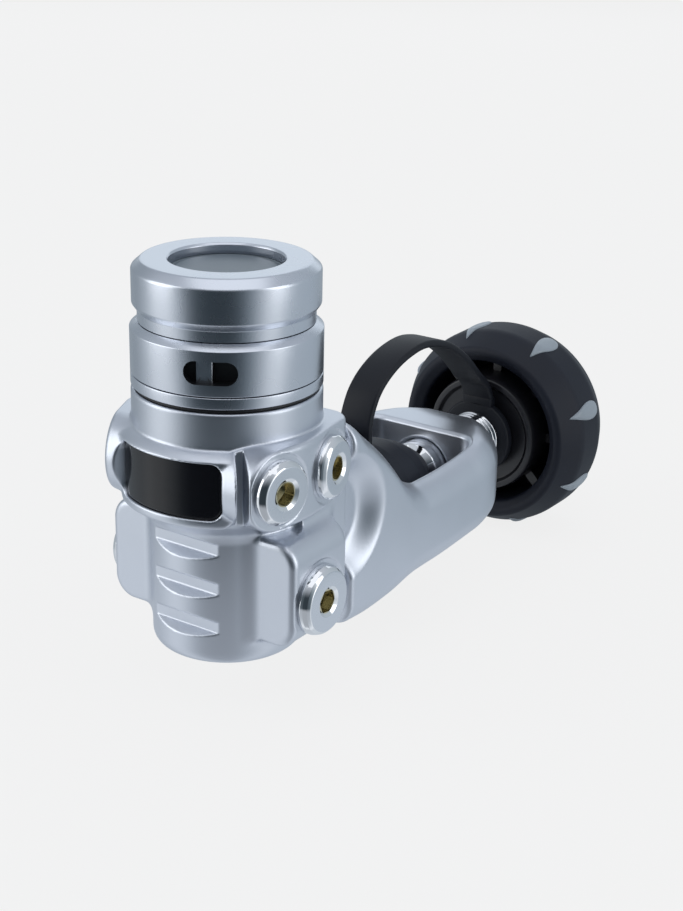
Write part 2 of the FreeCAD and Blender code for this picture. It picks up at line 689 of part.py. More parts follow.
def port_bore(label, radius, recess, depth):
    """A port drilled along +X into its seat face, with the recess for its seal."""
    body = new_body(label)
    sketch = new_sketch(body, "XZ_Plane")
    outline(sketch, [("-" + depth, "0"), ("-" + depth, radius),
                     ("-sizes.recess_depth", radius), ("-sizes.recess_depth", recess),
                     ("sizes.recess_depth", recess), ("sizes.recess_depth", "0")])
    revolve(body, sketch, "H_Axis")
    return body


LOW_PORTS = (("front_right", -1, -1), ("rear_right", 1, -1), ("rear_left", 1, 1))


def at_low_port(thing, fore, side, in_part_frame=True):
    """Put a piece drawn along +X on a low pressure port; +X then points out of it."""
    thing.Placement = FreeCAD.Placement(FreeCAD.Vector(), FreeCAD.Rotation(Z_AXIS, 90))
    lean = "%d * sizes.port_fan" % -fore
    drive(thing, "Placement.Rotation.Angle",
          "90 + " + lean if side > 0 else "270 - (" + lean + ")")
    place = "sizes.port_back" if fore > 0 else "-sizes.port_front"
    shift = " - sizes.axis_offset" if in_part_frame else ""
    drive(thing, "Placement.Base.x", place + shift)
    drive(thing, "Placement.Base.y", "%d * sizes.port_reach" % side)
    lift = " - sizes.axis_height" if in_part_frame else ""
    drive(thing, "Placement.Base.z", "sizes.port_height" + lift)


def at_high_port(thing, side, in_part_frame=True):
    """The same for a high pressure port."""
    turn = 90 if side > 0 else 270
    thing.Placement = FreeCAD.Placement(FreeCAD.Vector(), FreeCAD.Rotation(Z_AXIS, turn))
    shift = " - sizes.axis_offset" if in_part_frame else ""
    drive(thing, "Placement.Base.x", "sizes.high_port_shift" + shift)
    drive(thing, "Placement.Base.y", "%d * sizes.wing_half" % side)
    lift = " - sizes.axis_height" if in_part_frame else ""
    drive(thing, "Placement.Base.z", "sizes.high_port_height" + lift)


def main_body():
    solids = [crossbar(), port_block(), seat_block(), label_frame()]
    boss = cylinder("inlet_boss", "sizes.boss_radius", "2 * sizes.boss_length",
                    "sizes.seat_face - sizes.boss_length", "0", "sizes.axis_height", Y_AXIS, 90)
    blank = boolean("Part::MultiFuse", "body_blank", core(), solids + [boss])
    cuts = [chambers(), scoops()]
    for name, fore, side in LOW_PORTS:
        bore = port_bore("low_bore_" + name, "sizes.low_port_radius", "sizes.low_port_recess",
                         "(sizes.port_reach - sizes.chamber_radius / 2)")
        at_low_port(bore, fore, side, in_part_frame=False)
        cuts.append(bore)
    for name, side in (("right", -1), ("left", 1)):
        bore = port_bore("high_bore_" + name, "sizes.high_port_radius", "sizes.high_port_recess",
                         "(sizes.wing_half - sizes.valve_radius / 2)")
        at_high_port(bore, side, in_part_frame=False)
        cuts.append(bore)
    cuts.append(cylinder("inlet_passage", "sizes.passage_radius", "sizes.seat_face",
                         "0", "0", "sizes.axis_height", Y_AXIS, 90))
    cuts.append(cylinder("inlet_thread", "sizes.retainer_radius + sizes.fit_gap",
                         "sizes.axis_offset",
                         "sizes.seat_face - sizes.retainer_bite - sizes.seam", "0",
                         "sizes.axis_height", Y_AXIS, 90))
    groove = new_body("label_groove")
    sketch = new_sketch(groove, "XZ_Plane")
    low = "places.label_low - sizes.fit_gap"
    high = "places.label_high + sizes.fit_gap"
    floor = "-(places.label_radius - sizes.label_thickness - sizes.fit_gap)"
    outer = "-(sizes.frame_radius + sizes.cut_over)"
    outline(sketch, [(floor, low), (outer, low), (outer, high), (floor, high)])
    revolve(groove, sketch, "V_Axis", "sizes.label_angle + sizes.label_slack", both_ways=True)
    cuts.append(groove)
    body = boolean("Cut", "main_body", blank, cuts)
    upright(body)
    return body


def label_plate():
    body = new_body("label_plate")
    sketch = new_sketch(body, "XZ_Plane")
    low = "places.label_low"
    high = "places.label_high"
    inner = "-(places.label_radius - sizes.label_thickness)"
    outline(sketch, [(inner, low), ("-places.label_radius", low),
                     ("-places.label_radius", high), (inner, high)])
    revolve(body, sketch, "V_Axis", "sizes.label_angle", both_ways=True)
    short = number("sizes.label_thickness + sizes.run_gap")
    round_edges(body, "sizes.label_corner",
                lambda e: e.BoundBox.ZLength < 0.01 and e.Length < short)
    upright(body)
    return body


# The rings, the spring housing and the sealed cap above the body


def gasket():
    low = "sizes.body_height + sizes.fit_gap"
    top = "places.clamp_low - sizes.fit_gap"
    inner = "sizes.neck_radius + sizes.fit_gap / 2"
    outer = "sizes.collar_radius - sizes.gasket_set"
    return turned("housing_gasket", [(inner, low), (outer, low), (outer, top), (inner, top)])


def clamp_ring():
    low = "places.clamp_low"
    edge = "sizes.ring_edge"
    return turned("clamp_ring", [
        ("sizes.neck_radius", low), ("sizes.collar_radius - " + edge, low),
        ("sizes.collar_radius", low + " + " + edge),
        ("sizes.collar_radius", "places.clamp_high - " + edge),
        ("sizes.collar_radius - " + edge, "places.clamp_high"),
        ("sizes.neck_radius", "places.clamp_high")])


def spring_housing():
    label = "spring_housing"
    body = new_body(label)
    sketch = new_sketch(body, "XZ_Plane")
    outer = "sizes.collar_radius"
    low = "places.housing_low"
    outline(sketch, [
        ("sizes.spring_bore", "places.housing_foot"),
        ("sizes.neck_radius - sizes.fit_gap", "places.housing_foot"),
        ("sizes.neck_radius - sizes.fit_gap", low), (outer + " - sizes.ring_edge", low),
        (outer, low + " + sizes.ring_edge"),
        (outer, "places.housing_high - sizes.housing_bevel"),
        ("sizes.groove_radius", "places.housing_high"),
        ("sizes.joint_radius", "places.housing_high"), ("sizes.joint_radius", "places.joint_high"),
        ("sizes.spring_bore", "places.joint_high")])
    revolve(body, sketch, "V_Axis")
    near = "sizes.key_turn - sizes.key_angle / 2"
    far = "sizes.key_turn + sizes.key_angle / 2"
    spans = (("sizes.slot_depth", "-sizes.slot_angle / 2", near),
             ("sizes.key_depth", near + " - sizes.key_edge", far + " + sizes.key_edge"),
             ("sizes.slot_depth", far, "sizes.slot_angle / 2"))
    cutters = []
    for step in range(int(number("sizes.slot_count"))):
        for i, (depth, start, stop) in enumerate(spans):
            cutter = new_body("slot_%d_%d" % (step, i))
            sketch = new_sketch(cutter, "XZ_Plane")
            inner = "-(sizes.collar_radius - %s)" % depth
            top = "places.slot_low + sizes.slot_height"
            out = "-(sizes.collar_radius + sizes.slot_depth)"
            outline(sketch, [(inner, "places.slot_low"), (out, "places.slot_low"), (out, top),
                             (inner, top)])
            revolve(cutter, sketch, "V_Axis", "%s - (%s)" % (stop, start), both_ways=True)
            cutter.Placement = FreeCAD.Placement(FreeCAD.Vector(), FreeCAD.Rotation(Z_AXIS, 1))
            drive(cutter, "Placement.Rotation.Angle",
                  "sizes.slot_turn + (%s + (%s)) / 2 + %d * 360 / sizes.slot_count"
                  % (stop, start, step))
            cutters.append(cutter)
    body.Label = "housing_blank"
    housing = boolean("Cut", "spring_housing_cut", body, cutters)
    housing.Label = label
    upright(housing)
    return housing


def dry_cap():
    lip = "places.cap_high - sizes.lip_thick"
    low = "places.groove_low"
    bore = "sizes.joint_radius + sizes.fit_gap"
    return turned("dry_chamber_cap", [
        (bore, low), ("sizes.groove_radius", low), ("sizes.groove_radius", "places.groove_high"),
        ("sizes.rim_radius", "places.rim_low"), ("sizes.rim_radius", "places.rim_high"),
        ("sizes.cap_flat", "places.cap_high"),
        ("sizes.window_radius + sizes.lip_edge", "places.cap_high"),
        ("sizes.window_radius", "places.cap_high - sizes.lip_edge"), ("sizes.window_radius", lip),
        (bore, lip)])


def outer_membrane():
    edge = "sizes.joint_radius"
    fold = "sizes.window_radius + sizes.lip_edge"
    return turned("outer_membrane", [
        ("0", "places.membrane_low"), (edge, "places.membrane_low"),
        (edge, "places.membrane_high"), (fold, "places.membrane_high"),
        (fold + " - 0.3 * sizes.fold_wide", "places.membrane_high - sizes.fold_deep"),
        (fold + " - 0.7 * sizes.fold_wide", "places.membrane_high - sizes.fold_deep"),
        (fold + " - sizes.fold_wide", "places.membrane_high"), ("0", "places.membrane_high")])


def membrane_ring():
    low = "places.joint_high + sizes.fit_gap"
    inner = "sizes.pad_radius + sizes.run_gap"
    return turned("membrane_ring", [(inner, low), ("sizes.joint_radius", low),
                                    ("sizes.joint_radius", "places.pad_high"),
                                    (inner, "places.pad_high")])


def load_transmitter():
    return turned("load_transmitter", [
        ("0", "places.spigot_high"), ("sizes.stem_radius", "places.spigot_high"),
        ("sizes.stem_radius", "places.pad_low"), ("sizes.pad_radius", "places.pad_low"),
        ("sizes.pad_radius", "places.pad_high"), ("0", "places.pad_high")])


def adjusting_screw():
    label = "adjusting_screw"
    inner = "sizes.stem_radius + sizes.run_gap"
    outer = "(sizes.spring_bore - sizes.fit_gap)"
    low = "places.adjuster_low"
    top = "places.adjuster_high"
    body = turned(label, [(inner, low), (outer, low), (outer, top), (inner, top)])
    sketch = new_sketch(body, "XY_Plane", top)
    half = "sizes.driver_slot / 2"
    outline(sketch, [("-2 * " + outer, "-" + half), ("2 * " + outer, "-" + half),
                     ("2 * " + outer, half), ("-2 * " + outer, half)])
    pocket(body, sketch, "sizes.driver_slot")
    return body


def spring_washer():
    low = "places.spring_high + sizes.fit_gap"
    inner = "sizes.stem_radius + sizes.loose_gap"
    outer = "sizes.spring_bore - sizes.loose_gap"
    return turned("spring_washer", [(inner, low), (outer, low),
                                    (outer, low + " + sizes.washer_thick"),
                                    (inner, low + " + sizes.washer_thick")])


def spring_button():
    return turned("spring_button", [
        ("0", "places.button_low"), ("sizes.button_radius", "places.button_low"),
        ("sizes.button_radius", "places.button_high"),
        ("sizes.spigot_radius", "places.button_high"),
        ("sizes.spigot_radius", "places.spigot_high"), ("0", "places.spigot_high")])


def diaphragm():
    low = "places.diaphragm_height + sizes.fit_gap"
    edge = "sizes.neck_radius - sizes.loose_gap"
    return turned("diaphragm", [("0", low), (edge, low), (edge, low + " + sizes.diaphragm_thick"),
                                ("0", low + " + sizes.diaphragm_thick")])


def diaphragm_washer():
    low = "places.button_low"
    inner = "sizes.button_radius + sizes.loose_gap"
    outer = "sizes.neck_radius - sizes.run_gap"
    high = "places.housing_foot - sizes.fit_gap / 2"
    return turned("diaphragm_washer", [(inner, low), (outer, low), (outer, high), (inner, high)])


def lifter():
    top = "places.diaphragm_height - sizes.fit_gap / 2"
    plate = top + " - sizes.plate_thick"
    return turned("lifter", [("0", "places.poppet_top"), ("sizes.pin_radius", "places.poppet_top"),
                             ("sizes.pin_radius", plate), ("sizes.plate_radius", plate),
                             ("sizes.plate_radius", top), ("0", top)])


def valve_seat():
    hole = "sizes.pin_radius + sizes.loose_gap"
    wall = "sizes.orifice_radius - sizes.fit_gap"
    groove = wall + " - sizes.seat_groove"
    middle = "(places.orifice_low + places.chamber_low) / 2"
    low = "places.orifice_low"
    top = "places.chamber_low - sizes.fit_gap / 2"
    lower = middle + " - sizes.seal_half"
    upper = middle + " + sizes.seal_half"
    return turned("valve_seat", [
        (hole, low), (wall, low), (wall, lower), (groove, lower), (groove, upper), (wall, upper),
        (wall, top), (hole, top)])


def poppet():
    shoulder = "places.poppet_neck"
    foot = "places.guide_high - sizes.poppet_deep"
    top = "places.poppet_top"
    return turned("poppet", [
        ("0", foot), ("sizes.poppet_stem", foot), ("sizes.poppet_stem", shoulder),
        ("sizes.poppet_head", shoulder), ("sizes.poppet_head", top + " - sizes.poppet_edge"),
        ("sizes.poppet_head - sizes.poppet_edge", top), ("0", top)])


def balance_plug():
    outer = "sizes.plug_radius - sizes.fit_gap"
    top = "sizes.plug_depth - sizes.seam"
    groove = "(sizes.plug_radius - sizes.plug_groove)"
    bore = "sizes.poppet_stem + sizes.fit_gap"
    low = "sizes.plug_low"
    lower = "sizes.plug_groove_low"
    upper = "sizes.plug_groove_low + sizes.plug_groove_tall"
    floor = "places.guide_high - sizes.guide_deep"
    body = turned("balance_plug", [
        ("0", low), (outer, low), (outer, lower), (groove, lower), (groove, upper),
        (outer, upper), (outer, top), ("sizes.guide_radius", top),
        ("sizes.guide_radius", "places.guide_high"), (bore, "places.guide_high"), (bore, floor),
        ("0", floor)])
    sketch = new_sketch(body, "XY_Plane", low)
    round_spot(sketch, "sizes.pin_spot", "0", "sizes.pin_hole")
    hole = pocket(body, sketch, "sizes.pin_sunk", backwards=True)
    around(body, hole, "2", "Z_Axis")
    return body


def seal_ring(label, radius, cord, height):
    """A rubber ring round the body's axis."""
    ring = doc.addObject("Part::Torus", label)
    drive(ring, "Radius1", radius)
    drive(ring, "Radius2", cord + " / 2")
    drive(ring, "Placement.Base.x", "-sizes.axis_offset")
    drive(ring, "Placement.Base.z", "-sizes.axis_height + " + height)
    return ring


def coil(label, radius, wire, low, length, turns):
    """A round wire spring on the body's axis, swept along quarter turn arcs."""
    rise = length - wire
    steps = int(round(turns * 4))

    def spot(quarter):
        angle = quarter * math.pi / 2
        return FreeCAD.Vector(radius * math.cos(angle), radius * math.sin(angle),
                              wire / 2 + rise * quarter / steps)

    arcs = [Part.Arc(spot(i), spot(i + 0.5), spot(i + 1)).toShape() for i in range(steps)]
    path = Part.Wire(arcs)
    start = arcs[0].tangentAt(arcs[0].FirstParameter)
    section = Part.Wire([Part.Circle(spot(0), start, wire / 2).toShape()])
    spring = doc.addObject("Part::Feature", label)
    spring.Shape = path.makePipeShell([section], True, False)
    place = FreeCAD.Vector(-number("sizes.axis_offset"), 0, low - number("sizes.axis_height"))
    spring.Placement = FreeCAD.Placement(place, FreeCAD.Rotation())
    arc_length = sum(arc.Length for arc in arcs)
    expected = math.pi * (wire / 2) ** 2 * arc_length
    gap = rise / turns - wire
    print("%s: gap between turns %.2f, volume %.1f of %.1f"
          % (label, gap, spring.Shape.Volume, expected))
    return spring


def main_spring():
    return coil("main_spring", number("sizes.spring_radius"), number("sizes.spring_wire"),
                number("places.spring_low"), number("places.spring_high - places.spring_low"),
                number("sizes.spring_turns"))


def poppet_spring():
    low = number("places.guide_high + sizes.fit_gap")
    high = number("places.poppet_neck - sizes.fit_gap")
    return coil("poppet_spring", number("sizes.poppet_spring_radius"),
                number("sizes.poppet_wire"), low, high - low, number("sizes.poppet_turns"))


# Port plugs and their seals


def port_plug(label, thread, head, height):
    """A plug drawn along +X from its seat face, with a hexagonal socket."""
    body = new_body(label)
    sketch = new_sketch(body, "XZ_Plane")
    shank = thread + " - sizes.fit_gap"
    gap = "sizes.fit_gap"
    outline(sketch, [("-sizes.plug_thread", "0"),
                     ("-sizes.plug_thread", shank + " - sizes.thread_bevel"),
                     ("-(sizes.plug_thread - sizes.thread_bevel)", shank), (gap, shank),
                     (gap, head),
                     (gap + " + sizes.flange_thick", head),
                     (gap + " + " + height, head + " - sizes.head_taper"),
                     (gap + " + " + height, "0")])
    revolve(body, sketch, "H_Axis")
    rim = number("%s + %s" % (gap, height))
    wide = number(head + " - sizes.head_taper")
    round_edges(body, "sizes.head_round",
                lambda e: abs(e.BoundBox.XMin - rim) < 0.001 and e.BoundBox.ZMax > wide - 0.001
                and e.BoundBox.XLength < 0.001)
    sketch = new_sketch(body, "YZ_Plane", gap + " + " + height)
    corners = []
    for i in range(6):
        angle = math.radians(60 * i + 30)
        factor = 0.5 / math.cos(math.pi / 6)
        corners.append(("%.9f * sizes.hex_across" % (factor * math.cos(angle)),
                        "%.9f * sizes.hex_across" % (factor * math.sin(angle))))
    outline(sketch, corners)
    pocket(body, sketch, "sizes.hex_depth")
    return body


def port_seals(label, thread, recess, places):
    """All the seals of one size, as one group of separate rings."""
    rings = []
    for i, put in enumerate(places):
        ring = turned_seal("%s_%d" % (label, i), thread, recess)
        put(ring)
        rings.append(ring)
    group = doc.addObject("Part::Compound", label)
    group.Links = rings
    return group


def turned_seal(label, thread, recess):
    """One seal: a round cord turned about +X, just below the seat face."""
    body = new_body(label)
    sketch = new_sketch(body, "XZ_Plane")
    round_spot(sketch, "-(sizes.ring_thick / 2)", "(%s + %s) / 2" % (thread, recess),
               "sizes.ring_thick / 2")
    revolve(body, sketch, "H_Axis")
    return body


# The yoke side


def yoke_section(body, place, half, low, high, corner):
    sketch = new_sketch(body, "YZ_Plane", place)
    rounded_outline(sketch, "-(%s)" % half, half, low, high, corner)
    return sketch


def yoke():
    """Lofted through rounded sections: a tall foot on the body, two arms, a blunt end."""
    body = new_body("yoke_outer")
    foot = "sizes.seat_face + sizes.fit_gap"
    wide = "sizes.yoke_half"
    low = "sizes.yoke_low"
    top = "sizes.yoke_top"
    end = "places.yoke_end"
    narrow = "sizes.end_half"
    window = "places.window_start"
    sections = [(place, wide + " - %s" % inset, low,
                 top + " + %s * (sizes.seat_high - sizes.yoke_top)" % share, corner)
                for place, inset, share, corner in (
                    (foot, 2.0, 1.0, "sizes.seat_corner"),
                    (foot + " + 3", 1.8, 0.95, "sizes.seat_corner"),
                    (foot + " + 7", 1.5, 0.82, "sizes.seat_corner"),
                    (foot + " + 15", 1.0, 0.57, "sizes.crest_corner"),
                    (window + " + 1", 0.6, 0.23, "sizes.crest_corner"),
                    (window + " + 10", 0.0, 0.03, "sizes.arm_corner"),
                    (window + " + 20", -0.2, 0.0, "sizes.arm_corner"))]
    sections += [
        ("places.window_end - 4", wide, low, top, "sizes.arm_corner"),
        ("places.window_end + 3", wide + " - 1.6", low + " + 0.2", top + " + 0.2",
         "sizes.arm_corner"),
        (end + " - 8", narrow + " + 6.5", low + " + 0.8", top + " + 0.2", "sizes.end_corner"),
        (end + " - 3", narrow + " + 2.6", low + " + 1.6", top + " - 0.4", "sizes.end_corner"),
        (end, narrow, low + " + 2.4", top + " - 1.2", "sizes.end_corner"),
    ]
    sketches = [yoke_section(body, *section) for section in sections]
    loft = body.newObject("PartDesign::AdditiveLoft", "yoke_loft")
    loft.Profile = sketches[0]
    loft.Sections = sketches[1:]
    loft.Ruled = False
    opening = new_sketch(body, "XY_Plane")
    rounded_outline(opening, window, "places.window_end", "-sizes.window_half",
                    "sizes.window_half", "sizes.window_corner")
    pocket(body, opening, "sizes.seat_high + sizes.boss_length", backwards=True)
    gap = " + sizes.fit_gap"
    before = "sizes.seat_face - sizes.boss_length"
    cuts = [
        cylinder("yoke_socket", "sizes.boss_radius" + gap,
                 "2 * sizes.boss_length + sizes.seam", before, "0", "sizes.axis_height",
                 Y_AXIS, 90),
        cylinder("yoke_hole", "sizes.retainer_radius" + gap, "places.window_start", before, "0",
                 "sizes.axis_height", Y_AXIS, 90),
        cylinder("yoke_thread", "sizes.screw_radius" + gap, "2 * sizes.end_thick",
                 "places.window_end - sizes.end_thick / 2", "0", "sizes.axis_height",
                 Y_AXIS, 90),
    ]
    result = boolean("Cut", "yoke", body, cuts)
    upright(result)
    return result


def inlet_fitting():
    """Screws through the yoke into the body; its hexagon clamps the yoke."""
    label = "inlet_fitting"
    root = "(sizes.seat_face - sizes.retainer_bite)"
    start = "places.window_start + sizes.fit_gap"
    face = "sizes.axis_offset"
    body = turned("fitting_blank", [
        (root, "sizes.inlet_bore"), (root, "sizes.retainer_radius - 1"),
        (root + " + 1", "sizes.retainer_radius"), (start, "sizes.retainer_radius"),
        (start, "sizes.hex_radius"), (start + " + sizes.hex_height", "sizes.hex_radius"),
        (start + " + sizes.hex_height", "sizes.nose_radius"),
        (face + " - sizes.nose_edge", "sizes.nose_radius"),
        (face, "sizes.nose_radius - sizes.nose_edge"),
        (face, "sizes.filter_radius"), (face + " - sizes.filter_depth", "sizes.filter_radius"),
        (face + " - sizes.filter_depth", "sizes.inlet_bore")], "yoke")
    flats = []
    for i in range(6):
        flat = doc.addObject("Part::Box", "hexagon_flat_%d" % i)
        drive(flat, "Length", "sizes.hex_height + sizes.fit_gap")
        drive(flat, "Width", "2 * sizes.hex_radius")
        drive(flat, "Height", "sizes.hex_radius")
        angle = math.radians(60 * i)
        turn = FreeCAD.Rotation(X_AXIS, 60 * i)
        flat.Placement = FreeCAD.Placement(FreeCAD.Vector(), turn)
        reach = "sizes.hex_radius * %.9f" % math.cos(math.pi / 6)
        drive(flat, "Placement.Base.x", "places.window_start - sizes.axis_offset")
        drive(flat, "Placement.Base.y", "%s * %.9f - sizes.hex_radius * %.9f"
              % (reach, -math.sin(angle), math.cos(angle)))
        drive(flat, "Placement.Base.z", "%s * %.9f - sizes.hex_radius * %.9f"
              % (reach, math.cos(angle), math.sin(angle)))
        flats.append(flat)
    fitting = boolean("Cut", label, body, flats)
    return fitting


def inlet_filter():
    """A sintered cone on a short collar, deep in the fitting's pocket."""
    back = "sizes.axis_offset - sizes.filter_depth + sizes.fit_gap / 2"
    outer = "sizes.filter_radius - sizes.fit_gap / 2"
    collar = back + " + sizes.filter_collar"
    tip = collar + " + sizes.filter_cone"
    return turned("inlet_filter", [
        (back, "0"), (back, outer), (collar, outer), (tip, "sizes.filter_tip"), (tip, "0")],
        "yoke")


def filter_clip():
    place = "sizes.axis_offset - sizes.clip_deep"
    end = place + " + sizes.clip_thick"
    inner = "sizes.filter_radius - sizes.clip_wide"
    outer = "sizes.filter_radius - sizes.seam / 2"
    return turned("filter_clip", [(place, inner), (place, outer), (end, outer), (end, inner)],
                  "yoke")


def yoke_screw():
    neck = "places.neck_start"
    tip = "places.screw_tip"
    shank = "places.neck_end"
    end = shank + " + sizes.shank_length"
    body = turned("yoke_screw_blank", [
        (tip, "0"), (tip, "sizes.screw_radius - sizes.tip_round"),
        (tip + " + 0.3 * sizes.tip_round", "sizes.screw_radius - 0.3 * sizes.tip_round"),
        (tip + " + sizes.tip_round", "sizes.screw_radius"),
        (neck, "sizes.screw_radius"), (neck, "sizes.screw_neck"), (shank, "sizes.screw_neck"),
        (shank, "sizes.screw_shank"), (end, "sizes.screw_shank"), (end, "0")], "yoke")
    return boolean("Cut", "yoke_screw", body, [pin_hole("screw_pin_hole")])


PIN_PLACE = "places.neck_end + sizes.pin_deep"


def pin_hole(label):
    """The hole for the knob's cross pin, right through, along Z."""
    return cylinder(label, "sizes.cross_pin + sizes.fit_gap / 2", "2 * sizes.knob_radius",
                    PIN_PLACE + " - sizes.axis_offset", "0", "-sizes.knob_radius")


def knob_pin():
    reach = "(sizes.hub_radius - 2)"
    return cylinder("knob_pin", "sizes.cross_pin", "2 * " + reach,
                    PIN_PLACE + " - sizes.axis_offset", "0", "-" + reach)


def knob_core():
    """Hub disc and barrel, a rear web and eight spokes out to the rubber."""
    front = "places.neck_end + sizes.fit_gap"
    back = "places.knob_end - sizes.cap_deep"
    web = back + " - sizes.web_thick"
    bore = "sizes.screw_shank + sizes.fit_gap / 2"
    outer = "sizes.knob_inner - sizes.fit_gap / 2"
    body = turned("core_blank", [
        (front, "0"), (front, "sizes.hub_radius - 1"), (front + " + 1", "sizes.hub_radius"),
        (web, "sizes.hub_radius"), (web, outer), (back, outer), (back, "0")], "yoke")
    spokes = []
    for i in range(4):
        spoke = doc.addObject("Part::Box", "spoke_%d" % i)
        drive(spoke, "Length", "sizes.knob_length - sizes.web_thick - sizes.spoke_deep - 3")
        drive(spoke, "Width", "sizes.spoke_width")
        drive(spoke, "Height", "2 * (%s) - sizes.fit_gap" % outer)
        turn = FreeCAD.Rotation(X_AXIS, 45 * i)
        spoke.Placement = FreeCAD.Placement(FreeCAD.Vector(), turn)
        angle = math.radians(45 * i)
        drive(spoke, "Placement.Base.x",
              "places.knob_start + sizes.spoke_deep - sizes.axis_offset")
        reach = "(%s - sizes.fit_gap / 2)" % outer
        drive(spoke, "Placement.Base.y", "-sizes.spoke_width / 2 * %.9f + %s * %.9f"
              % (math.cos(angle), reach, math.sin(angle)))
        drive(spoke, "Placement.Base.z", "-sizes.spoke_width / 2 * %.9f - %s * %.9f"
              % (math.sin(angle), reach, math.cos(angle)))
        spokes.append(spoke)
    full = boolean("Part::MultiFuse", "core_full", body, spokes)
    hole = cylinder("core_bore", bore, "2 * sizes.knob_length",
                    "places.neck_start - sizes.axis_offset", "0", "0", Y_AXIS, 90)
    return boolean("Cut", "knob_core", full, [hole, pin_hole("core_pin_hole")])


def knob_end_cap():
    back = "places.knob_end - sizes.cap_deep + sizes.fit_gap"
    top = back + " + sizes.end_cap_thick"
    return turned("knob_end_cap", [
        (back, "0"), (back, "sizes.cap_radius_end"),
        (top + " - sizes.end_cap_bevel / 2", "sizes.cap_radius_end"),
        (top, "sizes.cap_radius_end - sizes.end_cap_bevel"), (top, "0")], "yoke")


def grip_ring(label, proud):
    """The rubber ring's solid, or one that stands proud of it by an expression."""
    body = new_body(label)
    sketch = new_sketch(body, "XZ_Plane")
    start = "(places.knob_start - (%s))" % proud
    stop = "(places.knob_end + %s)" % proud
    outer = "(sizes.knob_radius + %s)" % proud
    lip = "(sizes.knob_inner + sizes.knob_lip)"
    outline(sketch, [(start + " + sizes.knob_bevel", "sizes.knob_inner"), (start, lip),
                     (start + " + sizes.knob_taper", outer),
                     (stop + " - sizes.knob_taper", outer), (stop, lip),
                     (stop + " - sizes.knob_bevel", "sizes.knob_inner")])
    revolve(body, sketch, "H_Axis")
    for radius, place in (("sizes.knob_round", outer), ("sizes.lip_round", lip)):
        height = number(place)
        round_edges(body, radius, lambda e, height=height: e.BoundBox.XLength < 0.001
                    and abs(e.BoundBox.ZMax - height) < 0.001)
    along_yoke(body)
    return body


def insert_drop(i):
    """A drop shaped cutter: its narrow end points to the knob's front."""
    body = new_body("insert_drop_%d" % i)
    centre = "places.knob_start + sizes.insert_place"
    slope = "((sizes.insert_half - sizes.insert_tip) / sizes.insert_place)"
    waist = "sizes.insert_half * sqrt(1 - %s ^ 2)" % slope
    back = "%s - sizes.insert_half * %s" % (centre, slope)
    sketch = new_sketch(body, "XY_Plane", "sizes.knob_radius - sizes.insert_root")
    outline(sketch, [("places.knob_start", "-sizes.insert_tip"), (back, "-" + waist),
                     (back, waist), ("places.knob_start", "sizes.insert_tip")])
    pad(body, sketch, "2 * sizes.insert_root")
    round_end = new_sketch(body, "XY_Plane", "sizes.knob_radius - sizes.insert_root")
    round_spot(round_end, centre, "0", "sizes.insert_half")
    pad(body, round_end, "2 * sizes.insert_root")
    body.Placement = FreeCAD.Placement(FreeCAD.Vector(), FreeCAD.Rotation(X_AXIS, 1))
    drive(body, "Placement.Rotation.Angle", "22.5 + %d * 360 / sizes.insert_count" % i)
    along_yoke(body)
    return body


def knob_inserts():
    drops = [insert_drop(i) for i in range(int(number("sizes.insert_count")))]
    group = doc.addObject("Part::Compound", "insert_drops")
    group.Links = drops
    return boolean("Part::MultiCommon", "knob_inserts",
                   grip_ring("proud_ring", "sizes.insert_proud"), [group]), group


def knob_grip(group):
    return boolean("Cut", "knob_grip", grip_ring("grip_blank", "0"), [group])


def dust_cap():
    """A hollow rubber cone over the inlet nose, with a lug for its strap."""
    face = "sizes.axis_offset"
    skirt = face + " - sizes.dust_skirt + sizes.dust_gap"
    wide = face + " + sizes.dust_wide"
    tip = "places.screw_tip - sizes.dust_gap"
    bore = "sizes.nose_radius + sizes.dust_gap"
    edge = "sizes.dust_edge"
    length = "(%s - (%s))" % (tip, wide)
    fall = "(sizes.dust_radius - sizes.dust_nose)"
    cone = [("%s + %s * %s" % (wide, along, length), "sizes.dust_radius - %s * %s" % (down, fall))
            for along, down in ((0.34, 0.15), (0.63, 0.45), (0.87, 0.8))]
    body = turned("dust_cap_blank", [
        (skirt, bore), (skirt, "sizes.dust_radius - " + edge),
        (skirt + " + " + edge, "sizes.dust_radius"), (wide, "sizes.dust_radius"), *cone,
        (tip, "sizes.dust_nose"), (tip, "0"), (face + " + sizes.dust_gap", "0"),
        (face + " + sizes.dust_gap", bore)], "yoke")
    lug = doc.addObject("Part::Box", "dust_cap_lug")
    drive(lug, "Length", "sizes.strap_thick + 2 * sizes.lug_wall")
    drive(lug, "Width", "sizes.strap_width + sizes.lug_wall")
    drive(lug, "Height", "sizes.lug_high")
    drive(lug, "Placement.Base.x", "places.strap_start - sizes.strap_thick / 2"
          " - sizes.lug_wall - sizes.axis_offset")
    drive(lug, "Placement.Base.y", "-(sizes.strap_width + sizes.lug_wall) / 2")
    drive(lug, "Placement.Base.z", "sizes.strap_lug - sizes.lug_high")
    return boolean("Part::MultiFuse", "dust_cap", body, [lug])


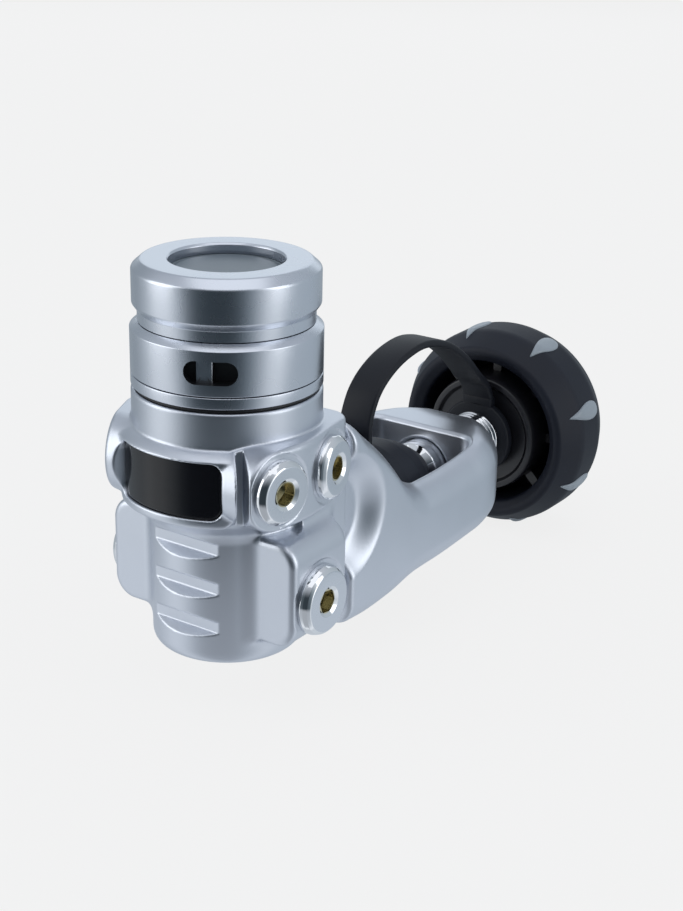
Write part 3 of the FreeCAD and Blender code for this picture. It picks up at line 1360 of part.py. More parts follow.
def strap_ring():
    """The strap's loop, free on the plain neck of the screw."""
    start = "places.neck_start + (sizes.neck_length - sizes.loop_thick) / 2"
    body = turned("loop_blank", [
        (start, "sizes.screw_neck + sizes.fit_gap"), (start, "sizes.loop_radius"),
        (start + " + sizes.loop_thick", "sizes.loop_radius"),
        (start + " + sizes.loop_thick", "sizes.screw_neck + sizes.fit_gap")], "yoke")
    lug = doc.addObject("Part::Box", "loop_lug")
    drive(lug, "Length", "sizes.loop_thick")
    drive(lug, "Width", "sizes.strap_width")
    drive(lug, "Height", "sizes.lug_high")
    drive(lug, "Placement.Base.x", start + " - sizes.axis_offset")
    drive(lug, "Placement.Base.y", "-sizes.strap_width / 2")
    drive(lug, "Placement.Base.z", "sizes.loop_lug - sizes.lug_high")
    return boolean("Part::MultiFuse", "strap_ring", body, [lug])


def dust_strap():
    """A flat band from the cap's lug over the yoke to the loop, in the plane of the axis."""
    half = number("sizes.strap_thick") / 2
    start = number("places.strap_start - sizes.axis_offset")
    stop = number("places.neck_start + sizes.neck_length / 2 - sizes.axis_offset")
    low = number("sizes.strap_lug")
    end = number("sizes.loop_lug")
    span = stop - start
    crest = number("sizes.strap_rise")
    # Shares of the span along the yoke and of the crest's height above the cap's lug.
    line = ((0.003, 0.32), (0.055, 0.62), (0.15, 0.84), (0.28, 0.97), (0.43, 1.0), (0.6, 0.856),
            (0.75, 0.584), (0.88, 0.238))
    middle = [(start, low)] + [(start + along * span, low + up * crest) for along, up in line]
    middle += [(start + 0.95 * span, end + 0.218 * crest), (stop, end)]
    spots = [FreeCAD.Vector(x, 0, z) for x, z in middle]
    centre = Part.BSplineCurve()
    centre.interpolate(Points=spots, InitialTangent=FreeCAD.Vector(0, 0, 1),
                       FinalTangent=FreeCAD.Vector(0.15, 0, -1))
    sides = []
    for sign in (1, -1):
        edge = []
        for spot in spots:
            along = centre.tangent(centre.parameter(spot))[0]
            across = FreeCAD.Vector(-along.z, 0, along.x)
            edge.append(spot + across * (sign * half))
        edge[0].z = low
        edge[-1].z = end
        curve = Part.BSplineCurve()
        curve.interpolate(Points=edge)
        sides.append(curve.toShape())
    ends = [Part.LineSegment(sides[0].Vertexes[i].Point, sides[1].Vertexes[i].Point).toShape()
            for i in (0, 1)]
    loop = Part.Wire(Part.__sortEdges__([sides[0], ends[0], sides[1], ends[1]]))
    width = number("sizes.strap_width")
    band = Part.Face(loop).extrude(FreeCAD.Vector(0, width, 0))
    strap = doc.addObject("Part::Feature", "dust_strap")
    strap.Shape = band
    strap.Placement = FreeCAD.Placement(FreeCAD.Vector(0, -width / 2, 0), FreeCAD.Rotation())
    return strap


parts = [main_body(), label_plate(), gasket(), clamp_ring(), spring_housing(), dry_cap(),
         outer_membrane(), membrane_ring(), load_transmitter(), adjusting_screw(),
         spring_washer(), spring_button(), diaphragm(), diaphragm_washer(), lifter(),
         valve_seat(), poppet(), balance_plug(), main_spring(), poppet_spring()]
parts.append(seal_ring("valve_seat_seal",
                       "sizes.orifice_radius - sizes.fit_gap - sizes.seat_cord / 2",
                       "sizes.seat_cord",
                       "(places.orifice_low + places.chamber_low) / 2"))
parts.append(seal_ring("balance_plug_seal", "sizes.plug_radius - sizes.plug_groove / 2",
                       "sizes.plug_cord",
                       "sizes.plug_groove_low + sizes.plug_groove_tall / 2"))

for name, fore, side in LOW_PORTS:
    plug = port_plug("low_plug_" + name, "sizes.low_port_radius", "sizes.low_head",
                     "sizes.low_head_height")
    at_low_port(plug, fore, side)
    parts.append(plug)
for name, side in (("right", -1), ("left", 1)):
    plug = port_plug("high_plug_" + name, "sizes.high_port_radius", "sizes.high_head",
                     "sizes.high_head_height")
    at_high_port(plug, side)
    parts.append(plug)
parts.append(port_seals("low_plug_seals", "sizes.low_port_radius", "sizes.low_port_recess",
                        [lambda ring, f=fore, s=side: at_low_port(ring, f, s)
                         for _, fore, side in LOW_PORTS]))
parts.append(port_seals("high_plug_seals", "sizes.high_port_radius", "sizes.high_port_recess",
                        [lambda ring, s=side: at_high_port(ring, s) for side in (-1, 1)]))

inserts, insert_group = knob_inserts()
parts += [yoke(), inlet_fitting(), inlet_filter(), filter_clip(), yoke_screw(), knob_core(),
          knob_grip(insert_group), inserts, knob_end_cap(), knob_pin(), dust_cap(),
          strap_ring(), dust_strap()]

doc.recompute()
for thing in doc.Objects:
    if "Invalid" in thing.State or "Error" in thing.State:
        raise RuntimeError("%s failed: %s" % (thing.Label, thing.State))
for part in parts:
    if part.Shape.isNull() or not part.Shape.isValid():
        raise RuntimeError("%s has no valid shape" % part.Label)

os.makedirs("parts", exist_ok=True)
for part in parts:
    part.Shape.exportStep("parts/%s.step" % part.Label)
    print("%-22s solids %d volume %9.1f" % (part.Label, len(part.Shape.Solids),
                                            part.Shape.Volume))
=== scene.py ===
# Looks for the first stage of a scuba regulator set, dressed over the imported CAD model.
import contextlib
import functools
import itertools
import json
from math import acos, atan2, cos, hypot, pi, radians, sin, sqrt, tan

import bmesh
import bpy
import numpy as np
from mathutils import Matrix, Vector


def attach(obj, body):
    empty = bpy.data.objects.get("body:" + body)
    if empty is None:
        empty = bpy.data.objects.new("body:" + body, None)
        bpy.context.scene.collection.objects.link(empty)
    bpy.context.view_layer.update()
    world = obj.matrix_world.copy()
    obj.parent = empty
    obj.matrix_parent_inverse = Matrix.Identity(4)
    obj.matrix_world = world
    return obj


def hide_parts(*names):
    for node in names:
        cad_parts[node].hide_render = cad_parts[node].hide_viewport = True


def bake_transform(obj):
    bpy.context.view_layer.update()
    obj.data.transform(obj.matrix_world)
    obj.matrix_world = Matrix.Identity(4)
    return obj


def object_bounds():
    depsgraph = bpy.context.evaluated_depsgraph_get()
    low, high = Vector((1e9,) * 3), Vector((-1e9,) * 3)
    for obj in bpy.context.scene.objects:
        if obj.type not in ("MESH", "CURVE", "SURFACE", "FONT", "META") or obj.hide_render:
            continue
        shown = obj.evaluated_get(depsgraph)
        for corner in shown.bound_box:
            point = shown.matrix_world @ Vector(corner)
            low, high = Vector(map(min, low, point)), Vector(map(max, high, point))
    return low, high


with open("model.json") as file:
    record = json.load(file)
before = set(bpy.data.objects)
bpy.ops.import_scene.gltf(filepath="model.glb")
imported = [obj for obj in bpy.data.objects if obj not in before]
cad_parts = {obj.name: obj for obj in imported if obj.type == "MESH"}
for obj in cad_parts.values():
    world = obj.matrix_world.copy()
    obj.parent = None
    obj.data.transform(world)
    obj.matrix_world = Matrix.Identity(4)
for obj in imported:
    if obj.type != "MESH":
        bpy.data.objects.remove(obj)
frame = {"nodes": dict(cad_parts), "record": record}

CAD_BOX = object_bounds()
MM = 0.001

# Driving sizes in millimetres. Heights are above the body's base, lengths along the yoke
# count from the body's axis, as in the CAD model.
# The body and its label.
AXIS_OFFSET = 48.0
AXIS_HEIGHT = 15.5
BASE_RADIUS = 17.2
BELT_RADIUS = 22.2
COLLAR_RADIUS = 21.0
BODY_HEIGHT = 60.6
SEAT_FACE = 17.0
PORT_HEIGHT = 44.5
BELT_HIGH = 51.0
PORT_FRONT = 12.2
PORT_BACK = 6.2
PORT_REACH = 23.1
PORT_FAN = radians(9.0)
EAR_RADIUS = 9.0
LEFT_LEAN = radians(24.0)
LEFT_REACH = 21.6
END_ROUND = 4.5
HIGH_HEIGHT = 16.0
HIGH_SHIFT = -0.4
WING_HALF = 25.4
WING_LOW = 6.4
WING_HIGH = 31.3
SEAT_HIGH = 51.0
SEAT_LOW = 4.2
FRAME_RADIUS = 24.2
LABEL_MIDDLE = 44.1
LABEL_RADIUS = 23.2
# The yoke, the knob and the screw.
YOKE_END = 101.0
WINDOW_START = 40.0
WINDOW_END = 83.0
WINDOW_HALF = 16.3
KNOB_START = 115.0
KNOB_END = 139.0
KNOB_RADIUS = 27.5
KNOB_INNER = 20.3
HUB_RADIUS = 16.5
SCREW_RADIUS = 7.5
SCREW_TIP = 77.0
NECK_START = 111.0
NECK_LENGTH = 3.6

UP = Vector((0, 0, 1))
ALONG = Vector((1, 0, 0))


def place(x, y, z):
    """From lengths along the yoke, sideways and above the base to the part's frame."""
    return Vector(((x - AXIS_OFFSET) * MM, y * MM, (z - AXIS_HEIGHT) * MM))


def add_object(name, data):
    """A new object in the scene."""
    made = bpy.data.objects.new(name, data)
    bpy.context.scene.collection.objects.link(made)
    return made


# Materials


def node_tree(look):
    """A material's nodes and its main shader."""
    look.use_nodes = True
    return look.node_tree, look.node_tree.nodes["Principled BSDF"]


def add_node(tree, kind, inputs=None, **settings):
    """A shader node with its settings, its inputs given as values or as other nodes' sockets."""
    node = tree.nodes.new("ShaderNode" + kind)
    for name, value in settings.items():
        setattr(node, name, value)
    for name, value in (inputs or {}).items():
        if isinstance(value, bpy.types.NodeSocket):
            tree.links.new(value, node.inputs[name])
        else:
            node.inputs[name].default_value = value
    return node


GRAIN_DEPTH = 0.0001
TONE_STOPS = (0.3, 0.7)


def material(name, color, roughness, metallic=0.0, grain=0.0, grain_scale=900.0, blotch=0.0,
             blotch_scale=60.0, vary=0.0, **sockets):
    """A Principled material with a fine surface grain, and slow changes of gloss and tone."""
    made = bpy.data.materials.new(name)
    tree, shader = node_tree(made)
    shader.inputs["Base Color"].default_value = (*color, 1)
    shader.inputs["Roughness"].default_value = roughness
    shader.inputs["Metallic"].default_value = metallic
    for socket, value in sockets.items():
        shader.inputs[socket.replace("_", " ")].default_value = value
    where = add_node(tree, "TexCoord").outputs["Object"]
    if grain:
        noise = add_node(tree, "TexNoise", {"Vector": where, "Scale": grain_scale, "Detail": 4})
        bump = add_node(tree, "Bump", {"Strength": grain, "Distance": GRAIN_DEPTH,
                                       "Height": noise.outputs["Fac"]})
        tree.links.new(bump.outputs["Normal"], shader.inputs["Normal"])
    if blotch:
        noise = add_node(tree, "TexNoise", {"Vector": where, "Scale": blotch_scale, "Detail": 3})
        spread = add_node(tree, "MapRange", {"To Min": max(roughness - blotch, 0.02),
                                             "To Max": roughness + blotch,
                                             "Value": noise.outputs["Fac"]})
        tree.links.new(spread.outputs["Result"], shader.inputs["Roughness"])
    if blotch and vary:
        ramp = add_node(tree, "ValToRGB", {"Fac": noise.outputs["Fac"]})
        for stop, spot, tone in zip(ramp.color_ramp.elements, TONE_STOPS, (1 - vary, 1 + vary)):
            stop.position = spot
            stop.color = (*[min(c * tone, 1) for c in color], 1)
        tree.links.new(ramp.outputs["Color"], shader.inputs["Base Color"])
    return made


PEARL = {"color": (0.62, 0.65, 0.71), "metallic": 1.0, "grain": 0.12, "grain_scale": 2600,
         "blotch": 0.03, "blotch_scale": 90, "vary": 0.015}
SATIN = material("satin_pearl_chrome", roughness=0.27, **PEARL)
CAST = material("satin_casting", roughness=0.36, **PEARL)
CHROME = material("polished_chrome", (0.80, 0.81, 0.83), 0.07, 1.0, grain=0.03,
                  grain_scale=1200, blotch=0.02)
PLUG_FACE = material("plug_face", (0.66, 0.69, 0.74), 0.28, 1.0, grain=0.1,
                     grain_scale=2600, blotch=0.03)
SOCKET = material("socket_brass", (0.62, 0.57, 0.40), 0.2, 1.0, grain=0.2,
                  grain_scale=1500, blotch=0.08, vary=0.2)
LABEL = material("label_gloss_black", (0.005, 0.005, 0.007), 0.12, grain=0.02, blotch=0.03,
                 Coat_Weight=0.3, Coat_Roughness=0.05, Specular_IOR_Level=0.25)
RUBBER = material("black_rubber", (0.0095, 0.012, 0.021), 0.52, grain=0.25,
                  grain_scale=1800, blotch=0.06, vary=0.12, Specular_IOR_Level=0.28)
STRAP_RUBBER = material("strap_rubber", (0.0065, 0.008, 0.013), 0.50, grain=0.2,
                        grain_scale=1500, blotch=0.05, vary=0.1, Specular_IOR_Level=0.28)
PLASTIC = material("black_plastic", (0.012, 0.012, 0.015), 0.30, grain=0.15,
                   grain_scale=1400, blotch=0.05)
INSERT = material("grey_insert", (0.30, 0.34, 0.38), 0.36, grain=0.15, grain_scale=2000,
                  blotch=0.04, vary=0.05)
MEMBRANE = material("grey_membrane", (0.15, 0.18, 0.21), 0.42, grain=0.2, grain_scale=1600,
                    blotch=0.05, vary=0.04)
# The black seal material is also painted shade on the walls and floors inside the housing's slots.
SEAL_AND_SLOT_SHADE = material("black_seal_and_slot_shade", (0.006, 0.006, 0.008), 0.45, grain=0.2, blotch=0.05)
BRASS = material("turned_brass", (0.70, 0.58, 0.32), 0.28, 1.0, grain=0.1, blotch=0.06,
                 vary=0.06)
STEEL = material("stainless_steel", (0.60, 0.60, 0.62), 0.25, 1.0, grain=0.1, blotch=0.05)
BRONZE = material("sintered_bronze", (0.45, 0.36, 0.22), 0.6, 1.0, grain=0.9,
                  grain_scale=2200, blotch=0.1, vary=0.2)
WHITE = material("white_plastic", (0.72, 0.72, 0.70), 0.4, grain=0.1, blotch=0.05)

SLOT_LOOKS = {
    "satin_metal": SATIN, "bright_chrome": CHROME, "label_black": LABEL,
    "black_rubber": RUBBER, "seal_rubber": SEAL_AND_SLOT_SHADE, "grey_membrane": MEMBRANE,
    "black_plastic": PLASTIC, "grey_inserts": INSERT, "plain_brass": BRASS,
    "white_plastic": WHITE, "stainless": STEEL, "sintered_bronze": BRONZE,
}
NODE_SLOT = {s["node"]: s["material_slot"] for s in frame["record"]["subparts"]}
for node, thing in frame["nodes"].items():
    thing.data.materials.clear()
    thing.data.materials.append(SLOT_LOOKS[NODE_SLOT[node]])


# Meshes


def finish_piece(piece, body, slot, *nodes):
    """Attach a piece to its body and hide the CAD nodes it stands in for. Without a material it
    takes its slot's look.
    """
    if not piece.data.materials:
        piece.data.materials.append(SLOT_LOOKS[slot])
    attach(piece, body)
    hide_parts(*nodes)


def mesh_piece(name, points, faces):
    """A smooth mesh object from points in metres."""
    mesh = bpy.data.meshes.new(name)
    mesh.from_pydata([tuple(p) for p in points], [], [tuple(f) for f in faces])
    mesh.validate()
    mesh.polygons.foreach_set("use_smooth", [True] * len(mesh.polygons))
    mesh.update()
    return add_object(name, mesh)


@contextlib.contextmanager
def editing(mesh):
    """A mesh opened for edits, and written back after them."""
    edit = bmesh.new()
    edit.from_mesh(mesh)
    yield edit
    edit.to_mesh(mesh)
    edit.free()


def outward(piece):
    """Turn every face of a closed piece outwards."""
    with editing(piece.data) as edit:
        bmesh.ops.recalc_face_normals(edit, faces=edit.faces)
    return piece


def rounded(corners, steps=5, closed=False):
    """A profile with round corners: each corner is (radius, height) or has its rounding third."""
    count = len(corners)
    line = []
    for i, corner in enumerate(corners):
        here = np.array(corner[:2], float)
        rounding = corner[2] if len(corner) > 2 else 0
        at_end = not closed and i in (0, count - 1)
        if not rounding or at_end:
            line.append(here)
            continue
        before = np.array(corners[i - 1][:2], float) - here
        after = np.array(corners[(i + 1) % count][:2], float) - here
        reach_a, reach_b = np.linalg.norm(before), np.linalg.norm(after)
        before, after = before / reach_a, after / reach_b
        half = acos(float(np.clip(before @ after, -1, 1))) / 2
        if half > radians(89):
            line.append(here)
            continue
        cut = min(rounding / tan(half), reach_a * 0.49, reach_b * 0.49)
        radius = cut * tan(half)
        middle = (before + after) / np.linalg.norm(before + after)
        centre = here + middle * radius / sin(half)
        first = here + before * cut - centre
        last = here + after * cut - centre
        turn = atan2(first[0] * last[1] - first[1] * last[0], float(first @ last))
        for k in range(steps + 1):
            angle = turn * k / steps
            spin = np.array([[cos(angle), -sin(angle)], [sin(angle), cos(angle)]])
            line.append(centre + spin @ first)
    return line


def lathe(name, line, base=(0, 0, 0), axis=UP, segments=160, closed=False, offset=None):
    """Turn a profile of (radius, height) in millimetres about an axis through base."""
    axis = Vector(axis).normalized()
    side = ALONG if abs(axis.z) > 0.9 else axis.orthogonal().normalized()
    other = axis.cross(side)
    origin = place(*base)
    points, rows = [], []
    for radius, height in line:
        if radius < 1e-6:
            rows.append([len(points)])
            points.append(origin + axis * (height * MM))
            continue
        row = []
        for k in range(segments):
            angle = 2 * pi * k / segments
            reach = radius + (offset(height, angle) if offset else 0)
            ray = side * cos(angle) + other * sin(angle)
            row.append(len(points))
            points.append(origin + axis * (height * MM) + ray * (reach * MM))
        rows.append(row)
    faces = []
    for low, high in zip(rows, rows[1:] + (rows[:1] if closed else [])):
        for k in range(segments):
            after = (k + 1) % segments
            corners = (low[k % len(low)], low[after % len(low)],
                       high[after % len(high)], high[k % len(high)])
            face = tuple(dict.fromkeys(corners))
            if len(face) > 2:
                faces.append(face)
    return outward(mesh_piece(name, points, faces))


def turned(name, line, segments=128, closed=False, offset=None):
    """Turn a profile about the screw's axis, with its heights along the yoke."""
    return lathe(name, line, (0, 0, AXIS_HEIGHT), ALONG, segments, closed, offset)


def ring(name, corners, segments=160):
    """Turn a closed profile with round corners about the body's axis."""
    return lathe(name, rounded(corners, closed=True), segments=segments, closed=True)


def bands(count, rows):
    """The faces between closed rows of points that follow each other."""
    faces = []
    for low in range(0, (rows - 1) * count, count):
        for k in range(count):
            after = (k + 1) % count
            faces.append((low + k, low + after, low + count + after, low + count + k))
    return faces


def patch(name, outline, rings, put, depth):
    """A raised or sunk patch: its outline shrinks over rings of (share, height)."""
    count = len(outline)
    points = []
    for share, height in [(1.0, -depth)] + list(rings):
        points += [put(u * share, v * share, height) for u, v in outline]
    points.append(put(0, 0, rings[-1][1]))
    points.append(put(0, 0, -depth))
    last = len(rings) * count
    top, bottom = len(points) - 2, len(points) - 1
    faces = bands(count, len(rings) + 1)
    for k in range(count):
        after = (k + 1) % count
        faces.append((last + k, last + after, top))
        faces.append((after, k, bottom))
    return outward(mesh_piece(name, points, faces))


OUTLINE_STEP = 0.5


def rectangle(half_u, half_v, corner, steps):
    """Points at the round corners of a rectangle."""
    return rounded([(half_u, -half_v, corner), (half_u, half_v, corner),
                    (-half_u, half_v, corner), (-half_u, -half_v, corner)], steps, closed=True)


def rectangle_outline(half_u, half_v, corner, steps=10):
    """Points of a rectangle with round corners, evenly close along its sides."""
    line = rectangle(half_u, half_v, corner, steps)
    dense = []
    for a, b in zip(line, line[1:] + line[:1]):
        parts = max(1, int(np.linalg.norm(b - a) / OUTLINE_STEP))
        dense += [a + (b - a) * k / parts for k in range(parts)]
    return dense


# Distance fields, for the body and the yoke


def soft_min(a, b, blend):
    """The union of two fields, with a fillet."""
    mix = np.clip(0.5 + 0.5 * (b - a) / blend, 0, 1)
    return b + (a - b) * mix - blend * mix * (1 - mix)


def soft_max(a, b, blend):
    """The common part of two fields, with a round edge."""
    return -soft_min(-a, -b, blend)


def bevel_max(a, b, width):
    """The common part of two fields, with a flat chamfer."""
    return np.maximum(np.maximum(a, b), (a + b + width) * sqrt(0.5))


def common(*fields):
    """The common part of fields, with sharp edges."""
    return functools.reduce(np.maximum, fields)


def carve(shape, cut, edge):
    """A field less another one, with a round edge."""
    return soft_max(shape, -cut, edge)


def rectangle_field(u, v, half_u, half_v, corner):
    """The distance from a rectangle with round corners."""
    du = np.abs(u) - (half_u - corner)
    dv = np.abs(v) - (half_v - corner)
    outside = np.hypot(np.maximum(du, 0), np.maximum(dv, 0))
    return outside + np.minimum(np.maximum(du, dv), 0) - corner


DRAW_ROUNDS = 3
LEAST_SLOPE = 0.05


def surface_net(name, field, low, high, step):
    """Mesh the zero surface of a field on a regular grid, then draw the points onto it."""
    axes = [np.arange(low[i], high[i] + step, step) for i in range(3)]
    grid = field(*np.meshgrid(*axes, indexing="ij"))
    inside = grid < 0
    filled = np.zeros([n - 1 for n in grid.shape], np.int8)
    corners = np.array(list(np.ndindex(2, 2, 2)))
    size = filled.shape
    for i, j, k in corners:
        filled += inside[i:i + size[0], j:j + size[1], k:k + size[2]]
    cells = np.argwhere((filled > 0) & (filled < 8))
    number = np.full(size, -1, np.int32)
    number[tuple(cells.T)] = np.arange(len(cells))
    values = np.stack([grid[cells[:, 0] + i, cells[:, 1] + j, cells[:, 2] + k]
                       for i, j, k in corners], 1)
    total = np.zeros((len(cells), 3))
    crossings = np.zeros(len(cells))
    for a, b in itertools.combinations(range(len(corners)), 2):
        edge = corners[b] - corners[a]
        if np.abs(edge).sum() == 1:
            hit = (values[:, a] < 0) != (values[:, b] < 0)
            share = values[hit, a] / (values[hit, a] - values[hit, b])
            total[hit] += corners[a] + share[:, None] * edge
            crossings[hit] += 1
    points = np.array(low) + (cells + total / crossings[:, None]) * step
    faces = []
    unit = np.eye(3, dtype=int)
    for axis, one, two in ((0, 1, 2), (1, 2, 0), (2, 0, 1)):
        edges = np.argwhere(np.diff(inside, axis=axis))
        keep = (edges[:, one] > 0) & (edges[:, two] > 0)
        keep &= (edges[:, one] < grid.shape[one] - 1) & (edges[:, two] < grid.shape[two] - 1)
        edges = edges[keep]
        quad = np.stack([number[tuple((edges - unit[one] * a - unit[two] * b).T)]
                         for a, b in ((1, 1), (0, 1), (0, 0), (1, 0))], 1)
        flip = ~inside[tuple(edges.T)]
        quad[flip] = quad[flip][:, ::-1]
        faces.append(quad)
    faces = np.concatenate(faces)
    nudge = step / 8
    for _ in range(DRAW_ROUNDS):
        value = field(*points.T)
        slope = np.stack([(field(*(points + way * nudge).T) - field(*(points - way * nudge).T))
                          / (2 * nudge) for way in unit], 1)
        steep = np.maximum((slope ** 2).sum(1), LEAST_SLOPE)
        move = slope * (value / steep)[:, None]
        length = np.linalg.norm(move, axis=1, keepdims=True)
        points -= move * np.minimum(1, step * 0.5 / np.maximum(length, 1e-9))
    spots = (points - np.array([AXIS_OFFSET, 0, AXIS_HEIGHT])) * MM
    return mesh_piece(name, spots, faces)


# The body's forms: their places and half widths, then rounded edges and fillets.
SPOTFACE = 0.3
CORE_TOP = 40.0
FLARE_HIGH = 36.0
BELT_MIDDLE = 44.0
BELT_SPAN = 14.0
BELT_CHAMFER = 0.9
BAR_MIDDLE = 0.2
BAR_HALF = 10.2
BAR_CORNER = 5.5
EAR_RUN = 30.0
SEAT_HALF = 20.5
SEAT_CORNER = 8.5
SEAT_OVERLAP = 0.3
FRAME_ANGLE = radians(42)
FRAME_HALF = 8.5
FRAME_CORNER = 3.4
FRAME_BACK = 15
FADE_START = 6.6
FADE_SLOPE = 1.5
BASE_ROUND = 3.2
BELT_TOP_ROUND = 0.6
BELT_FOOT_ROUND = 1.6
BAR_ROUND = 1.9
VEE_ROUND = 1.2
EAR_ROUND = 1.3
TOP_ROUND = 0.8
BAR_FILLET = 2.2
SEAT_FILLET = 2.5
BELT_FILLET = 1.6
LEFT_EAR_FILLET = 3.2
RIGHT_EAR_FILLET = 0.9
COLLAR_FILLET = 0.5
FRAME_FILLET = 0.6
# What is cut out of them.
GROOVE_AROUND = -18.69
GROOVE_HALF = 0.95
GROOVE_FLOOR = 22.0
GROOVE_TALL = 9
SCOOP_HEIGHTS = (8.2, 17.5, 26.8)
SCOOP_SLOPE = radians(31)
SCOOP_HALF = 1.25
SCOOP_PLANE = -14.73
RECESS_HALF = 14.2
RECESS_TALL = 6.4
RECESS_CORNER = 2.7
RECESS_DEPTH = 0.9
LOW_FACE = 8.35
HIGH_FACE = 9.25
BORE_RADIUS = 4.5
BORE_DEPTH = 6
# Further out than any face, so that a cut doesn't reach there.
NOWHERE = 9.0


def belt_form(r, z):
    """The belt: it widens from the core below, and ends above in a flat chamfer."""
    climb = (BELT_RADIUS - BASE_RADIUS) / (FLARE_HIGH - WING_HIGH)
    under = (r - BASE_RADIUS - (z - WING_HIGH) * climb) / hypot(1, climb)
    over = (r - BELT_RADIUS + z - BELT_HIGH + BELT_CHAMFER) / sqrt(2)
    belt = soft_max(r - BELT_RADIUS, over, BELT_TOP_ROUND)
    belt = soft_max(belt, under, BELT_FOOT_ROUND)
    return np.maximum(belt, np.abs(z - BELT_MIDDLE) - BELT_SPAN)


def ear_form(x, y, z):
    """The ear blocks, with faces in a shallow vee. The left front face is further in."""
    side = np.abs(y)
    ear = np.hypot(x - np.clip(x, -PORT_FRONT, EAR_RUN), z - PORT_HEIGHT) - EAR_RADIUS
    lean, stand = sin(PORT_FAN), cos(PORT_FAN)
    right = -lean * (x + PORT_FRONT) + stand * (side - PORT_REACH) - SPOTFACE
    left = -sin(LEFT_LEAN) * (x + PORT_FRONT) + cos(LEFT_LEAN) * (side - LEFT_REACH)
    rear = lean * (x - PORT_BACK) + stand * (side - PORT_REACH) - SPOTFACE
    faces = soft_max(np.where(y > 0, left, right), rear, VEE_ROUND)
    at_corner = (faces > -END_ROUND) & (x > SEAT_FACE - END_ROUND)
    corner = np.hypot(np.maximum(faces + END_ROUND, 0),
                      np.maximum(x - SEAT_FACE + END_ROUND, 0)) - END_ROUND
    blunt = np.maximum(faces, x - SEAT_FACE)
    return soft_max(ear, np.where(at_corner, corner, blunt), EAR_ROUND)


def frame_form(around, r, z):
    """The raised frame of the label, which slopes back along its upper edge."""
    up = z - LABEL_MIDDLE
    rim = rectangle_field(around, up, FRAME_RADIUS * FRAME_ANGLE, FRAME_HALF, FRAME_CORNER)
    fade = r - FRAME_RADIUS + np.maximum(up - FADE_START, 0) * FADE_SLOPE
    rim = soft_max(rim, soft_max(r - FRAME_RADIUS, fade, 1.2), 1.0)
    return np.maximum(rim, FRAME_BACK - r)


def body_forms(x, y, z, r, around):
    """All that stands out of the casting, run together with fillets."""
    core = common(soft_max(r - BASE_RADIUS, -z, BASE_ROUND), z - CORE_TOP)
    bar = rectangle_field(y, z - (WING_LOW + WING_HIGH) / 2, WING_HALF + SPOTFACE,
                          (WING_HIGH - WING_LOW) / 2, BAR_CORNER)
    bar = soft_max(bar, np.abs(x - BAR_MIDDLE) - BAR_HALF, BAR_ROUND)
    seat = rectangle_field(y, z - (SEAT_LOW + SEAT_HIGH) / 2, SEAT_HALF,
                           (SEAT_HIGH - SEAT_LOW) / 2, SEAT_CORNER)
    seat = common(seat, -x, x - SEAT_FACE - SEAT_OVERLAP)
    shape = soft_min(core, bar, BAR_FILLET)
    shape = soft_min(shape, seat, SEAT_FILLET)
    shape = soft_min(shape, belt_form(r, z), BELT_FILLET)
    ear = ear_form(x, y, z)
    shape = np.where(y > 0, soft_min(shape, ear, LEFT_EAR_FILLET),
                     soft_min(shape, ear, RIGHT_EAR_FILLET))
    shape = soft_min(shape, common(r - COLLAR_RADIUS, CORE_TOP - z), COLLAR_FILLET)
    return soft_min(shape, frame_form(around, r, z), FRAME_FILLET)


def cut_ports(shape, x, y, z):
    """Cut the ports' flat faces and bores. The left ear has no front port."""
    side = np.abs(y)
    lean = sin(PORT_FAN)
    right_only = np.where(y > 0, NOWHERE, -NOWHERE)
    for away, ahead, turn, lift, face, radius in (
            (right_only, -PORT_FRONT, -lean, PORT_HEIGHT, PORT_REACH, LOW_FACE),
            (-NOWHERE, PORT_BACK, lean, PORT_HEIGHT, PORT_REACH, LOW_FACE),
            (-NOWHERE, HIGH_SHIFT, 0, HIGH_HEIGHT, WING_HALF, HIGH_FACE)):
        upright = sqrt(1 - turn * turn)
        out = turn * (x - ahead) + upright * (side - face)
        along = upright * (x - ahead) - turn * (side - face)
        across = np.hypot(along, z - lift)
        disc = common(across - radius, -out, away)
        bore = common(across - BORE_RADIUS, -out - BORE_DEPTH, away)
        shape = np.maximum(carve(shape, disc, 0.25), -bore)
    return shape


def body_field(x, y, z):
    """The body's casting: its forms, less the recesses, the scoops and the ports."""
    r = np.hypot(x, y)
    around = FRAME_RADIUS * np.arctan2(y, -x)
    shape = body_forms(x, y, z, r, around)
    up = z - LABEL_MIDDLE
    groove = common(np.abs(around - GROOVE_AROUND) - GROOVE_HALF, GROOVE_FLOOR - r,
                    np.abs(up) - GROOVE_TALL, x)
    shape = carve(shape, groove, 0.3)
    shape = carve(shape, common(SEAT_FACE - x, z - SEAT_HIGH - 0.4), 0.5)
    shape = soft_max(shape, z - BODY_HEIGHT, TOP_ROUND)
    for low in SCOOP_HEIGHTS:
        half = SCOOP_HALF + (SCOOP_PLANE - x) * tan(SCOOP_SLOPE)
        scoop = (np.abs(z - low - SCOOP_HALF) - half) * cos(SCOOP_SLOPE)
        shape = carve(shape, common(scoop, x - SCOOP_PLANE), 0.12)
    recess = rectangle_field(around * LABEL_RADIUS / FRAME_RADIUS, up, RECESS_HALF, RECESS_TALL,
                             RECESS_CORNER)
    recess = common(recess, LABEL_RADIUS - RECESS_DEPTH - r, x)
    return cut_ports(carve(shape, recess, 0.3), x, y, z)


def body_casting():
    """The chrome body, drawn finer than the photograph shows."""
    step = 0.34
    piece = surface_net("body_casting", body_field, (-27, -28, -2), (22.4, 28, 62), step)
    piece.data.materials.append(CAST)
    finish_piece(piece, "root", "satin_metal", "main_body")


